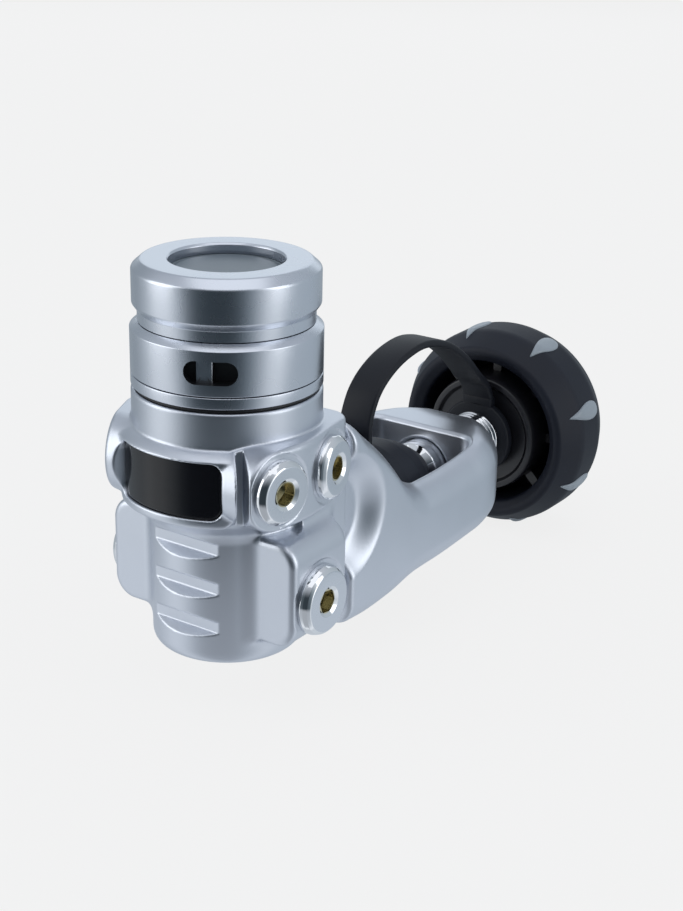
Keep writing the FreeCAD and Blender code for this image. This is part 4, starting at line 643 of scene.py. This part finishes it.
def through(spots, x):
    """A smooth curve through (place, value) spots, flat beyond them."""
    at = np.array([s[0] for s in spots], float)
    value = np.array([s[1] for s in spots], float)
    rise = np.diff(value) / np.diff(at)
    slope = np.zeros(len(at))
    for i in range(1, len(at) - 1):
        if rise[i - 1] * rise[i] > 0:
            slope[i] = 2 * rise[i - 1] * rise[i] / (rise[i - 1] + rise[i])
    x = np.clip(x, at[0], at[-1])
    i = np.clip(np.searchsorted(at, x, side="right") - 1, 0, len(at) - 2)
    width = at[i + 1] - at[i]
    t = (x - at[i]) / width
    return ((1 + 2 * t) * (1 - t) ** 2 * value[i] + t * (1 - t) ** 2 * width * slope[i]
            + t * t * (3 - 2 * t) * value[i + 1] + t * t * (t - 1) * width * slope[i + 1])


# The yoke's section by place along it: half width, upper and lower edge, and corner radius.
YOKE_HALF = ((17, 22.4), (24, 22.6), (34, 22.8), (46, 23.0), (60, 23.2), (76, 23.1), (84, 21.9),
             (91, 18.6), (96, 15.0), (101, 10.6))
YOKE_CREST = ((17, 51.0), (20, 49.7), (24, 46.4), (28, 43.3), (32, 40.0), (36, 36.2), (41, 31.0),
              (46, 27.2), (51, 25.4), (60, 25.2), (72, 25.8), (82, 27.0), (90, 27.2), (97, 26.4),
              (101, 24.8))
YOKE_SOLE = ((17, 0.3), (26, 0.0), (36, 0.3), (48, 1.8), (66, 2.6), (84, 3.4), (93, 4.4),
             (98, 5.4), (101, 6.4))
YOKE_CORNER = ((17, 5.6), (24, 5.8), (32, 6.4), (45, 7.5), (60, 7.0), (84, 7.4), (101, 8.0))
# The hollow in the side of its foot, and the bores on the axis.
HOLLOW_ALONG = 14.5
HOLLOW_HEIGHT = 28.5
HOLLOW_RADIUS = 15.5
HOLLOW_FLOOR = 0.6
HOLLOW_EDGE = 0.45
HOLLOW_DEPTH = 4.4
NUT_RADIUS = 9.65
NUT_END = 29.1
CAP_RADIUS = 7.55
CAP_END = 45
THREAD_START = 79
THREAD_GAP = 0.08
YOKE_CHAMFER = 0.9


def yoke_field(x, y, z):
    """The yoke's casting: its changing section, less the window and the bores."""
    crest = through(YOKE_CREST, x)
    sole = through(YOKE_SOLE, x)
    away = np.hypot((x - HOLLOW_ALONG) / HOLLOW_RADIUS, (z - HOLLOW_HEIGHT) / HOLLOW_RADIUS)
    rise = np.clip((away - HOLLOW_FLOOR) / HOLLOW_EDGE, 0, 1)
    half = through(YOKE_HALF, x) - HOLLOW_DEPTH * (1 - rise * rise * (3 - 2 * rise))
    shape = rectangle_field(y, z - (crest + sole) / 2, half, (crest - sole) / 2,
                            through(YOKE_CORNER, x))
    shape = soft_max(shape, x - YOKE_END, 4.0)
    shape = soft_max(shape, SEAT_FACE + 0.2 - x, 1.6)
    window = rectangle_field(x - (WINDOW_START + WINDOW_END) / 2, y,
                             (WINDOW_END - WINDOW_START) / 2, WINDOW_HALF, 5.0)
    shape = bevel_max(shape, -window, YOKE_CHAMFER)
    across = np.hypot(y, z - AXIS_HEIGHT)
    shape = common(shape, -common(across - NUT_RADIUS, x - NUT_END))
    shape = common(shape, -common(across - CAP_RADIUS, x - CAP_END))
    thread = common(across - (SCREW_RADIUS + THREAD_GAP), THREAD_START - x)
    return bevel_max(shape, -thread, YOKE_CHAMFER)


def yoke_casting():
    """The clamp bow that holds the tank valve."""
    step = 0.36
    piece = surface_net("yoke_casting", yoke_field, (15, -25, -1), (103, 25, 53), step)
    piece.data.materials.append(CAST)
    finish_piece(piece, "root", "satin_metal", "yoke")


# The rings and the sealed cap


def stack():
    """The dark gasket, the thin ring, the top cap and the grey disc in its opening."""
    gasket = [(17.2, 60.7), (20.4, 60.7, 0.2), (20.4, 61.4, 0.2), (17.2, 61.4)]
    finish_piece(ring("dark_gasket", gasket), "root", "seal_rubber", "housing_gasket")
    thin = [(17.1, 61.5), (COLLAR_RADIUS, 61.5, 0.25), (COLLAR_RADIUS, 64.0, 0.25), (17.1, 64.0)]
    finish_piece(ring("ring_below_housing", thin), "root", "satin_metal", "clamp_ring")
    cap = [(16.4, 75.5), (19.3, 75.5, 0.1), (19.3, 77.9, 0.6), (20.45, 79.5, 0.7),
           (20.45, 86.9, 1.0), (18.3, 88.8, 1.1), (12.9, 88.8, 0.4), (12.5, 88.3, 0.3),
           (12.5, 86.4, 0.1), (16.4, 86.4)]
    finish_piece(ring("top_cap", cap), "root", "satin_metal", "dry_chamber_cap")
    disc = [(0, 85.1), (16.2, 85.1), (16.2, 86.3, 0.1), (12.4, 86.3, 0.1), (12.1, 85.9, 0.2),
            (11.4, 85.9, 0.2), (11.0, 86.5, 0.2), (6, 86.6), (0, 86.6)]
    finish_piece(lathe("window_membrane", rounded(disc)), "root", "grey_membrane",
                 "outer_membrane")


SLOT_COUNT = 3
SLOT_TURN = 28.2
SLOT_HALF = 5.75
SLOT_LOW = 66.8
SLOT_HIGH = 71.9
SLOT_DEPTH = 3.2
KEY_TURN = 4.6
KEY_HALF = 1.75
KEY_SINK = 1.7
KEY_DEPTH = 2.0


def upright(degrees, reach, height):
    """How a patch lies on the upright plane at a radius of the body."""
    angle = radians(degrees)
    ray = Vector((cos(angle), sin(angle), 0))
    across = Vector((-ray.y, ray.x, 0))

    def put(u, v, lift):
        spot = ray * (reach + lift) + across * u
        return place(spot.x, spot.y, height + v)

    return put


def slot_and_key(turn):
    """The stadium shaped cutter of a slot, and the slot's flat key."""
    middle = (SLOT_HIGH + SLOT_LOW) / 2
    radius = (SLOT_HIGH - SLOT_LOW) / 2
    outline = rectangle_outline(SLOT_HALF, radius, radius * 0.98)
    cutter = patch("slot_cutter", outline, [(1.0, 4.0)], upright(turn, COLLAR_RADIUS, middle),
                   SLOT_DEPTH)
    outline = rectangle_outline(KEY_HALF, radius + 0.2, 0.1, 2)
    key = patch("slot_key", outline, [(1.0, -0.12), (0.94, 0.0)],
                upright(turn - KEY_TURN, COLLAR_RADIUS - KEY_SINK, middle), KEY_DEPTH)
    return cutter, key


def cut_with(piece, cutter):
    """Cut one mesh out of another, and drop the cutter."""
    step = piece.modifiers.new("cut", "BOOLEAN")
    step.operation = "DIFFERENCE"
    step.solver = "EXACT"
    step.object = cutter
    bpy.context.view_layer.update()
    shaped = piece.evaluated_get(bpy.context.evaluated_depsgraph_get())
    piece.data = bpy.data.meshes.new_from_object(shaped)
    piece.modifiers.clear()
    bpy.data.objects.remove(cutter)


def joined(name, pieces):
    """One mesh object from several, with the first one's materials."""
    mesh = bpy.data.meshes.new(name)
    with editing(mesh) as edit:
        for piece in pieces:
            edit.from_mesh(piece.data)
    for look in pieces[0].data.materials:
        mesh.materials.append(look)
    for piece in pieces:
        bpy.data.objects.remove(piece)
    return add_object(name, mesh)


def paint_slot_shade(whole):
    """Paint shade inside the slots: their walls and floors take the black seal material as painted
    shade, except the keys' faces.
    """
    for face in whole.data.polygons:
        face.use_smooth = True
        spot = (face.center - place(0, 0, 0)) / MM
        reach = spot.xy.length
        on_key = 18.9 < reach < 19.6 and face.normal.xy.dot(spot.xy) / reach > 0.6
        inside = 17.0 < reach < COLLAR_RADIUS - 0.15
        if inside and SLOT_LOW - 0.1 < spot.z < SLOT_HIGH + 0.1 and not on_key:
            face.material_index = 1


def housing():
    """The turned housing with three stadium slots, each with its flat key."""
    corners = [(12.5, 55.0), (16.9, 55.0), (16.9, 64.2), (COLLAR_RADIUS, 64.2, 0.25),
               (COLLAR_RADIUS, 74.0, 0.3), (19.3, 75.3, 0.1), (16.3, 75.3), (16.3, 82.0),
               (12.5, 82.0)]
    piece = ring("slotted_housing", corners, 240)
    keys = []
    for i in range(SLOT_COUNT):
        cutter, key = slot_and_key(180 + (SLOT_TURN + 120 * i))
        cut_with(piece, cutter)
        keys.append(key)
    whole = joined("ring_with_slots", [piece] + keys)
    # The second material, the black seal, is painted shade on the walls and floors inside the
    # slots.
    for look in (SATIN, SEAL_AND_SLOT_SHADE):
        whole.data.materials.append(look)
    paint_slot_shade(whole)
    sharpen(whole, 35)
    finish_piece(whole, "root", "satin_metal", "spring_housing")


def sharpen(piece, degrees):
    """Mark edges sharper than an angle, so that smooth shading stops there."""
    with editing(piece.data) as edit:
        for edge in edit.edges:
            edge.smooth = edge.calc_face_angle(0) < radians(degrees)


def label():
    """The blank gloss plate that lies round the body in its frame."""
    outline = rectangle_outline(LABEL_RADIUS * radians(34.8), 6.3, 2.6)

    def put(u, v, height):
        angle = pi - u / LABEL_RADIUS
        reach = LABEL_RADIUS + height
        return place(reach * cos(angle), reach * sin(angle), LABEL_MIDDLE + v)

    rings = [(1.0, -0.3), (0.996, -0.12), (0.985, -0.02), (0.96, 0.0)]
    rings += [(share / 10, 0.0) for share in range(9, 0, -1)]
    piece = patch("blank_label", outline, rings, put, 0.8)
    finish_piece(piece, "root", "label_black", "label_plate")


# Port plugs


LOW_HEAD = {"head": 6.75, "flange": 7.2, "height": 2.45, "face": 6.1, "turn": 10}
HIGH_HEAD = {"head": 7.6, "flange": 8.1, "height": 2.85, "face": 6.9, "turn": 22}
SOCKET_ACROSS = 5.0
SOCKET_BEVEL = 0.5
SOCKET_DEPTH = 3.4
SOCKET_TIP = 4.1


def sink_socket(edit, origin, ray, height, turn):
    """Run a head's open rim down into a hexagonal socket with a drilled tip."""
    across = ray.cross(UP)

    def angle(vert):
        return atan2((vert.co - origin).dot(across), (vert.co - origin).dot(UP))

    def on_rim(vert):
        up = (vert.co - origin).dot(ray)
        out = (vert.co - origin - ray * up).length
        at_edge = abs(up / MM - (height - SOCKET_BEVEL)) < 1e-3
        return at_edge and out / MM < SOCKET_ACROSS * 0.52

    rim = sorted([vert for vert in edit.verts if on_rim(vert)], key=angle)
    rows = [rim]
    for depth in (SOCKET_BEVEL, SOCKET_DEPTH):
        row = []
        for vert in rim:
            here = angle(vert)
            within = (here - radians(turn)) % (pi / 3) - pi / 6
            reach = SOCKET_ACROSS / 2 / cos(within) * MM * 0.995
            out = UP * cos(here) + across * sin(here)
            row.append(edit.verts.new(origin + ray * ((height - depth) * MM) + out * reach))
        rows.append(row)
    tip = edit.verts.new(origin + ray * ((height - SOCKET_TIP) * MM))
    for k in range(len(rim)):
        after = (k + 1) % len(rim)
        for low, high in zip(rows, rows[1:]):
            edit.faces.new((low[k], low[after], high[after], high[k]))
        edit.faces.new((rows[-1][k], rows[-1][after], tip))


def plug(name, node, spot, ray, head, flange, height, face, turn):
    """A plug head: a flared chrome flank, a satin face and a hexagonal socket."""
    line = rounded([(0, -4), (4.3, -4), (4.3, 0.02), (flange, 0.02, 0.1), (flange, 0.7, 0.3),
                    (head + 0.35, 1.3, 0.6), (head, height - 0.7, 0.5), (face, height, 0.7),
                    (SOCKET_ACROSS * 0.72, height, 0.1),
                    (SOCKET_ACROSS * 0.56, height - SOCKET_BEVEL)])
    line.append(np.array((SOCKET_ACROSS * 0.5, height - SOCKET_BEVEL)))
    piece = lathe(name, line, spot, ray, segments=96)
    origin, ray = place(*spot), Vector(ray).normalized()
    with editing(piece.data) as edit:
        sink_socket(edit, origin, ray, height, turn)
        bmesh.ops.recalc_face_normals(edit, faces=edit.faces)
        for side in edit.faces:
            side.smooth = True
            middle = side.calc_center_median() - origin
            up = middle.dot(ray) / MM
            out = (middle - ray * middle.dot(ray)).length / MM
            if out < SOCKET_ACROSS * 0.6 and up < height - 0.2:
                side.material_index = 2
            elif up > height - 0.06:
                side.material_index = 1
    for look in (CHROME, PLUG_FACE, SOCKET):
        piece.data.materials.append(look)
    sharpen(piece, 32)
    finish_piece(piece, "root", "bright_chrome", node)


def plugs():
    """Three low pressure plugs in the ears, and two high pressure ones in the bar."""
    lean, stand = sin(PORT_FAN), cos(PORT_FAN)
    for name, ahead, turn, sign in (("front_right", -PORT_FRONT, -lean, -1),
                                    ("rear_right", PORT_BACK, lean, -1),
                                    ("rear_left", PORT_BACK, lean, 1)):
        plug("low_%s_head" % name, "low_plug_" + name,
             (ahead, sign * PORT_REACH, PORT_HEIGHT), (turn, sign * stand, 0), **LOW_HEAD)
    for hand, sign in (("right", -1), ("left", 1)):
        plug("high_%s_head" % hand, "high_plug_" + hand,
             (HIGH_SHIFT, sign * WING_HALF, HIGH_HEIGHT), (0, sign, 0), **HIGH_HEAD)


# The clamp screw, the knob, the dust cap and its strap


THREAD_PITCH = 1.5
THREAD_DEPTH = 0.7
PLAIN_START = 3
THREAD_STEP = 0.15


def screw():
    """The chrome screw: a domed tip with a centre hole, a plain start and a fine thread."""
    start, stop = YOKE_END + 2.6, NECK_START
    line = rounded([(0, SCREW_TIP + 1.6), (0.9, SCREW_TIP + 1.1, 0.1),
                    (1.3, SCREW_TIP + 0.05, 0.2), (5.2, SCREW_TIP, 1.2),
                    (SCREW_RADIUS, SCREW_TIP + 2.0, 0.8), (SCREW_RADIUS, SCREW_TIP + PLAIN_START)])
    length = stop - SCREW_TIP - PLAIN_START
    steps = int(length / THREAD_STEP)
    line += [np.array((SCREW_RADIUS, SCREW_TIP + PLAIN_START + length * k / steps))
             for k in range(1, steps + 1)]
    line += [np.array(p) for p in ((6.0, NECK_START + 0.3), (6.0, NECK_START + NECK_LENGTH),
                                   (5.0, NECK_START + NECK_LENGTH), (5.0, 130), (0, 130))]

    def thread(height, angle):
        """How far the surface lies below the screw's radius."""
        if height <= SCREW_TIP + 2.9 or height > NECK_START + 0.1:
            return 0
        phase = (height / THREAD_PITCH - angle / (2 * pi)) % 1
        cut = min(1, 2.3 * abs(phase - 0.5))
        fade = min(1, max(0, (height - start) / 0.8)) * min(1, max(0, (stop - height) / 0.8))
        return -THREAD_DEPTH * cut * fade

    piece = turned("clamp_screw", line, offset=thread)
    finish_piece(piece, "screw_and_knob", "bright_chrome", "yoke_screw")


KNOB_LINE = [(KNOB_INNER, KNOB_START + 2.0, 1.8), (KNOB_INNER + 2.6, KNOB_START, 2.2),
             (KNOB_RADIUS - 3.0, KNOB_START + 0.4, 4.5), (KNOB_RADIUS + 0.6, KNOB_START + 7.5, 6.0),
             (KNOB_RADIUS + 0.7, KNOB_END - 7.0, 6.0), (KNOB_RADIUS - 2.4, KNOB_END, 4.0),
             (KNOB_INNER + 2.0, KNOB_END, 2.0), (KNOB_INNER, KNOB_END - 2.0, 1.5)]


def knob_surface():
    """The outside of the grip as points with their distance along it, from the front."""
    line = np.array(rounded(KNOB_LINE, 10, closed=True))
    line = np.roll(line, -int(np.argmin(line[:, 1])), axis=0)
    reach = np.concatenate([[0], np.cumsum(np.linalg.norm(np.diff(line, axis=0), axis=1))])
    return line, reach


KNOB_SURFACE, KNOB_REACH = knob_surface()
DROP_COUNT = 8
DROP_LENGTH = 13.5
DROP_WIDTH = 3.1
DROP_TURN = 18.5
DROP_PLACE = 12.0


def on_knob(distance, lift):
    """A point of the grip's profile, or one lifted off it."""
    here, ahead, back = [
        np.array([np.interp(distance + step, KNOB_REACH, KNOB_SURFACE[:, i]) for i in (0, 1)])
        for step in (0, 0.3, -0.3)]
    along = (ahead - back) / np.linalg.norm(ahead - back)
    return here + np.array((along[1], -along[0])) * lift


def drop_outline():
    """A drop's outline, wide at one end and pointed at the other."""
    outline = []
    for k in range(48):
        angle = 2 * pi * k / 48
        along = cos(angle)
        width = sin(angle) * (0.56 + 0.44 * along) * (1 - 0.12 * along)
        outline.append((along * DROP_LENGTH / 2, width * DROP_WIDTH * 1.25))
    return outline


def grip():
    """The rubber grip with its eight grey drops."""
    piece = turned("rubber_grip", rounded(KNOB_LINE, 10, closed=True), 192, closed=True)
    finish_piece(piece, "screw_and_knob", "black_rubber", "knob_grip")
    drops = []
    outline = drop_outline()
    rings = [(1.0, -0.1), (0.97, 0.18), (0.9, 0.36), (0.75, 0.5), (0.55, 0.58), (0.3, 0.62)]
    for i in range(DROP_COUNT):
        turn = radians(DROP_TURN + 45 * i)

        def put(u, v, height):
            radius, spot = on_knob(DROP_PLACE + u, height)
            angle = turn + v / KNOB_RADIUS
            return place(spot, radius * sin(angle), AXIS_HEIGHT + radius * cos(angle))

        drops.append(patch("drop", outline, rings, put, 0.8))
    finish_piece(joined("grip_drops", drops), "screw_and_knob", "grey_inserts", "knob_inserts")


SPOKE_COUNT = 8
SPOKE_MIDDLE = 18.3
SPOKE_START = 8
SPOKE_LENGTH = 10.0


def hub():
    """The moulded hub with its rim and spokes, and the cap at the knob's back."""
    front = NECK_START + NECK_LENGTH + 0.05
    back = KNOB_END - 2
    outer = KNOB_INNER - 0.05
    line = [(5.05, front + 0.6), (8.4, front + 0.6, 0.3), (9.2, front + 1.2, 0.4),
            (13.8, front + 1.0, 0.5), (14.6, front, 0.4), (HUB_RADIUS - 0.4, front, 0.5),
            (HUB_RADIUS, front + 1.4, 0.4), (HUB_RADIUS, back - 4.0, 0.3), (outer, back - 4.0, 0.2),
            (outer, back, 0.4), (13.0, back, 0.3), (12.4, back - 0.6, 0.2), (5.05, back - 0.6)]
    pieces = [turned("hub_disc", rounded(line, closed=True), closed=True)]
    for i in range(SPOKE_COUNT):
        angle = radians(45 * i)
        ray = Vector((0, sin(angle), cos(angle)))
        across = Vector((0, ray.z, -ray.y))

        def put(u, v, height):
            spot = ray * (SPOKE_MIDDLE + v) + across * u
            return place(KNOB_START + SPOKE_START + height, spot.y, AXIS_HEIGHT + spot.z)

        pieces.append(patch("spoke", rectangle_outline(1.25, 1.95, 0.5, 3),
                            [(1.0, SPOKE_LENGTH - 0.5), (0.9, SPOKE_LENGTH)], put, 0.4))
    whole = joined("moulded_hub", pieces)
    sharpen(whole, 40)
    finish_piece(whole, "screw_and_knob", "black_plastic", "knob_core")
    line = [(0, back + 0.1), (12.0, back + 0.1), (12.0, back + 1.1, 0.4), (10.6, back + 1.8, 0.5),
            (9.2, back + 1.8, 0.3), (8.6, back + 1.5, 0.2), (0, back + 1.4)]
    cap = turned("knob_back_cap", rounded(line))
    finish_piece(cap, "screw_and_knob", "black_plastic", "knob_end_cap")


BAND_HALF = 4.5
BAND_THICK = 2.8


def dust_cap():
    """The rubber cap over the inlet, with the strap's lug."""
    face = AXIS_OFFSET
    line = [(8.8, face - 3.7), (14.4, face - 3.7, 0.6), (15.0, face - 3.0, 0.5),
            (15.0, face + 8, 4.0), (13.8, face + 15, 6.0), (11.4, face + 21, 6.0),
            (8.6, face + 26, 4.0), (7.0, face + 28.6, 1.0), (0, face + 28.7)]
    cap = turned("rubber_dust_cap", rounded(line, 8) + [np.array((0, face + 0.35))])
    lug = rounded_block("cap_lug", (face + 0.9, -5.0, AXIS_HEIGHT + 11.6),
                        (face + 5.9, 5.0, AXIS_HEIGHT + 15.6), 0.9)
    whole = joined("dust_cover_rubber", [cap, lug])
    finish_piece(whole, "dust_cover", "black_rubber", "dust_cap")


def strap_loop():
    """The loop at the strap's far end, round the screw's neck."""
    start = NECK_START + (NECK_LENGTH - BAND_THICK) / 2
    line = [(6.1, start, 0.3), (10.5, start, 0.7), (10.5, start + BAND_THICK, 0.7),
            (6.1, start + BAND_THICK, 0.3)]
    loop = turned("loop_ring", rounded(line, closed=True), 96, closed=True)
    lug = rounded_block("loop_lug", (start, -BAND_HALF, AXIS_HEIGHT + 9.0),
                        (start + BAND_THICK, BAND_HALF, AXIS_HEIGHT + 12.0), 0.6)
    loop.data.materials.append(STRAP_RUBBER)
    whole = joined("strap_loop_rubber", [loop, lug])
    finish_piece(whole, "strap_loop", "black_rubber", "strap_ring")


def rounded_block(name, low, high, edge):
    """A block between two corners with round edges."""
    mesh = bpy.data.meshes.new(name)
    low, high = place(*low), place(*high)
    with editing(mesh) as edit:
        bmesh.ops.create_cube(edit, size=1)
        for vert in edit.verts:
            vert.co = Vector([low[i] + (vert.co[i] + 0.5) * (high[i] - low[i]) for i in range(3)])
        bmesh.ops.bevel(edit, geom=edit.edges[:], offset=edge * MM, segments=4, affect="EDGES",
                        profile=0.5)
        for face in edit.faces:
            face.smooth = True
    return add_object(name, mesh)


# The strap's middle line, by place along the yoke and height above the screw's axis.
STRAP_LINE = ((51.4, 15.2), (51.5, 18.0), (51.6, 22.1), (54.8, 28.2), (60.6, 32.5), (68.6, 35.2),
              (77.8, 35.8), (88.2, 32.9), (97.4, 27.2), (105.4, 20.2), (109.8, 16.4), (112.8, 11.6))


def smooth_line(spots, per_span=8):
    """Points of a curve through spots, with even tangents."""
    spots = [np.array(s, float) for s in spots]
    padded = [2 * spots[0] - spots[1]] + spots + [2 * spots[-1] - spots[-2]]
    line = []
    for i in range(1, len(padded) - 2):
        p0, p1, p2, p3 = padded[i - 1:i + 3]
        for k in range(per_span):
            t = k / per_span
            line.append(0.5 * (2 * p1 + (p2 - p0) * t + (2 * p0 - 5 * p1 + 4 * p2 - p3) * t * t
                               + (3 * p1 - p0 - 3 * p2 + p3) * t ** 3))
    line.append(spots[-1])
    return line


def strap():
    """The flat band from the dust cap over the yoke to its loop on the screw."""
    line = smooth_line(STRAP_LINE)
    section = rectangle(BAND_HALF, 1.0, 0.7, 4)
    points = []
    count = len(section)
    for i, spot in enumerate(line):
        ahead = line[min(i + 1, len(line) - 1)] - line[max(i - 1, 0)]
        ahead = ahead / np.linalg.norm(ahead)
        across = np.array((-ahead[1], ahead[0]))
        for y, lift in section:
            here = spot + across * lift
            points.append(place(here[0], y, here[1] + AXIS_HEIGHT))
    faces = bands(count, len(line))
    faces.append(tuple(range(count)))
    faces.append(tuple(range((len(line) - 1) * count, len(line) * count)))
    piece = outward(mesh_piece("retaining_strap", points, faces))
    piece.data.materials.append(STRAP_RUBBER)
    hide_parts("dust_strap")
    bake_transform(piece)


# Camera, floor and lights


# The camera that the photograph's view was fitted with.
CAMERA_SPOT = (-0.32636, -0.21748, 0.16254)
CAMERA_RIGHT = (0.56377, -0.82571, 0.01937)
CAMERA_AHEAD = (0.77589, 0.52142, -0.35513)
CAMERA_LENS = 67.18
FLOOR_HEIGHT = CAD_BOX[0][2] - 0.0012
FLOOR_REACH = 40.0
FLOOR_GLOW = 0.92
LAMP_AIM = Vector((0.0, 0.0, 0.02))
VIEW_ANGLE = atan2(-0.5214, -0.7759)
# Softboxes: angle from the camera's side in degrees, height, distance, the panel's width and
# height, power and tint.
LAMPS = {"left_softbox": (-80, 0.35, 1.1, 0.8, 1.1, 3),
         "right_softbox": (68, 0.35, 1.1, 0.6, 1.1, 2.5),
         "top_softbox": (10, 1.2, 0.25, 1.2, 1.2, 2.4),
         "back_softbox": (180, 0.5, 1.3, 1.4, 0.8, 2, (0.9, 0.95, 1.0))}
# Light in the room by its angle from the camera's side, in degrees, negative to the left:
# brightness and how blue it is.
ROOM = ((-180, 0.46, 0.20), (-128, 0.42, 0.20), (-104, 0.66, 0.14), (-90, 0.98, 0.08),
        (-70, 0.98, 0.08), (-57, 0.66, 0.14), (-46, 0.26, 0.24), (-36, 0.09, 0.36),
        (-20, 0.060, 0.38), (6, 0.055, 0.38), (18, 0.085, 0.36), (28, 0.21, 0.30),
        (40, 0.46, 0.20), (53, 0.88, 0.10), (67, 0.98, 0.08), (82, 0.60, 0.18),
        (120, 0.60, 0.20), (152, 0.50, 0.20), (180, 0.46, 0.20))
ROOM_RIGHT = (0.5578, -0.8300, 0.0)
ROOM_FRONT = (-0.8300, -0.5578, 0.0)


def add_camera():
    """The camera at the photograph's viewing angle."""
    camera = add_object("camera", bpy.data.cameras.new("camera"))
    bpy.context.scene.camera = camera
    camera.data.lens = CAMERA_LENS
    camera.data.clip_start = 0.01
    right = Vector(CAMERA_RIGHT).normalized()
    ahead = Vector(CAMERA_AHEAD).normalized()
    turn = Matrix((right, right.cross(ahead), -ahead)).transposed().to_4x4()
    camera.matrix_world = Matrix.Translation(CAMERA_SPOT) @ turn


def add_floor():
    """The floor, wide enough to reach the horizon."""
    corners = [(x * FLOOR_REACH, y * FLOOR_REACH, FLOOR_HEIGHT)
               for x, y in ((-1, -1), (1, -1), (1, 1), (-1, 1))]
    floor = mesh_piece("floor", corners, [(0, 1, 2, 3)])
    floor.data.materials.append(floor_look())


def add_lamp(name, degrees, height, distance, wide, tall, power, tint=(1, 1, 1)):
    """A softbox at an angle from the camera's side, aimed at the object."""
    angle = VIEW_ANGLE + radians(degrees)
    spot = LAMP_AIM + Vector((cos(angle) * distance, sin(angle) * distance, height))
    light = bpy.data.lights.new(name, "AREA")
    light.shape = "RECTANGLE"
    light.size = wide
    light.size_y = tall
    light.energy = power
    light.color = tint
    turn = (LAMP_AIM - spot).to_track_quat("-Z", "Y").to_matrix().to_4x4()
    add_object(name, light).matrix_world = Matrix.Translation(spot) @ turn


def studio():
    """The photograph's view: camera, pale floor, room and four softboxes."""
    bpy.context.scene.view_settings.view_transform = "Standard"
    add_camera()
    add_floor()
    world_look()
    for name, setting in LAMPS.items():
        add_lamp(name, *setting)


def mix_shaders(tree, share, one, two):
    """A mix from one shader to another."""
    return add_node(tree, "MixShader", {0: share, 1: one.outputs[0], 2: two.outputs[0]})


def floor_look():
    """A pale floor with a soft shadow. Reflections see it near the object only, as a table."""
    look = bpy.data.materials.new("floor")
    tree, shader = node_tree(look)
    shader.inputs["Base Color"].default_value = (0.86, 0.86, 0.86, 1)
    shader.inputs["Roughness"].default_value = 0.9
    shader.inputs["Specular IOR Level"].default_value = 0.0
    path = add_node(tree, "LightPath")
    share = add_node(tree, "Math", {0: path.outputs["Is Camera Ray"], 1: FLOOR_GLOW},
                     operation="MULTIPLY")
    glow = add_node(tree, "Emission", {"Color": (0.905, 0.905, 0.905, 1)})
    pale = mix_shaders(tree, share.outputs[0], shader, glow)
    where = add_node(tree, "TexCoord").outputs["Object"]
    away = add_node(tree, "VectorMath", {0: where, 1: (-AXIS_OFFSET * MM, 0, FLOOR_HEIGHT)},
                    operation="DISTANCE")
    near = add_node(tree, "MapRange", {"Value": away.outputs["Value"], "From Min": 0.085,
                                       "From Max": 0.145, "To Min": 0.5, "To Max": 0.0},
                    interpolation_type="SMOOTHSTEP")
    table = add_node(tree, "Emission", {"Color": (0.82, 0.87, 0.94, 1)})
    seen = mix_shaders(tree, near.outputs["Result"], add_node(tree, "BsdfTransparent"), table)
    both = mix_shaders(tree, path.outputs["Is Glossy Ray"], pale, seen)
    tree.links.new(both.outputs[0], tree.nodes["Material Output"].inputs["Surface"])
    return look


def world_look():
    """Pale for the camera, and else a room with two bright sides."""
    world = bpy.data.worlds.new("studio")
    bpy.context.scene.world = world
    world.use_nodes = True
    tree = world.node_tree
    where = add_node(tree, "TexCoord").outputs["Generated"]

    def along(direction):
        dot = add_node(tree, "VectorMath", {0: where, 1: direction}, operation="DOT_PRODUCT")
        return dot.outputs["Value"]

    turn = add_node(tree, "Math", {0: along(ROOM_RIGHT), 1: along(ROOM_FRONT)},
                    operation="ARCTAN2")
    shift = add_node(tree, "MapRange", {"Value": turn.outputs[0], "From Min": -pi,
                                        "From Max": pi})
    ramp = add_node(tree, "ValToRGB", {"Fac": shift.outputs["Result"]})
    stops = ramp.color_ramp.elements
    for angle, level, blue in ROOM[1:-1]:
        stops.new((angle + 180) / 360)
    for stop, (angle, level, blue) in zip(stops, ROOM):
        stop.color = (level * (1 - blue), level * (1 - 0.45 * blue), level, 1)
    height = add_node(tree, "MapRange", {"Value": along((0, 0, 1)), "From Min": 0.3,
                                         "From Max": 0.95}, interpolation_type="SMOOTHSTEP")
    # The colours of this node are its inputs 6 and 7 and its output 2.
    sky = add_node(tree, "Mix", {0: height.outputs["Result"]}, data_type="RGBA")
    sky.inputs[7].default_value = (0.56, 0.60, 0.66, 1)
    tree.links.new(ramp.outputs["Color"], sky.inputs[6])
    room = tree.nodes["Background"]
    tree.links.new(sky.outputs[2], room.inputs["Color"])
    pale = add_node(tree, "Background", {"Color": (0.885, 0.885, 0.885, 1)})
    both = mix_shaders(tree, add_node(tree, "LightPath").outputs["Is Camera Ray"], room, pale)
    tree.links.new(both.outputs[0], tree.nodes["World Output"].inputs["Surface"])


studio()
body_casting()
yoke_casting()
stack()
housing()
label()
plugs()
screw()
grip()
hub()
dust_cap()
strap_loop()
strap()
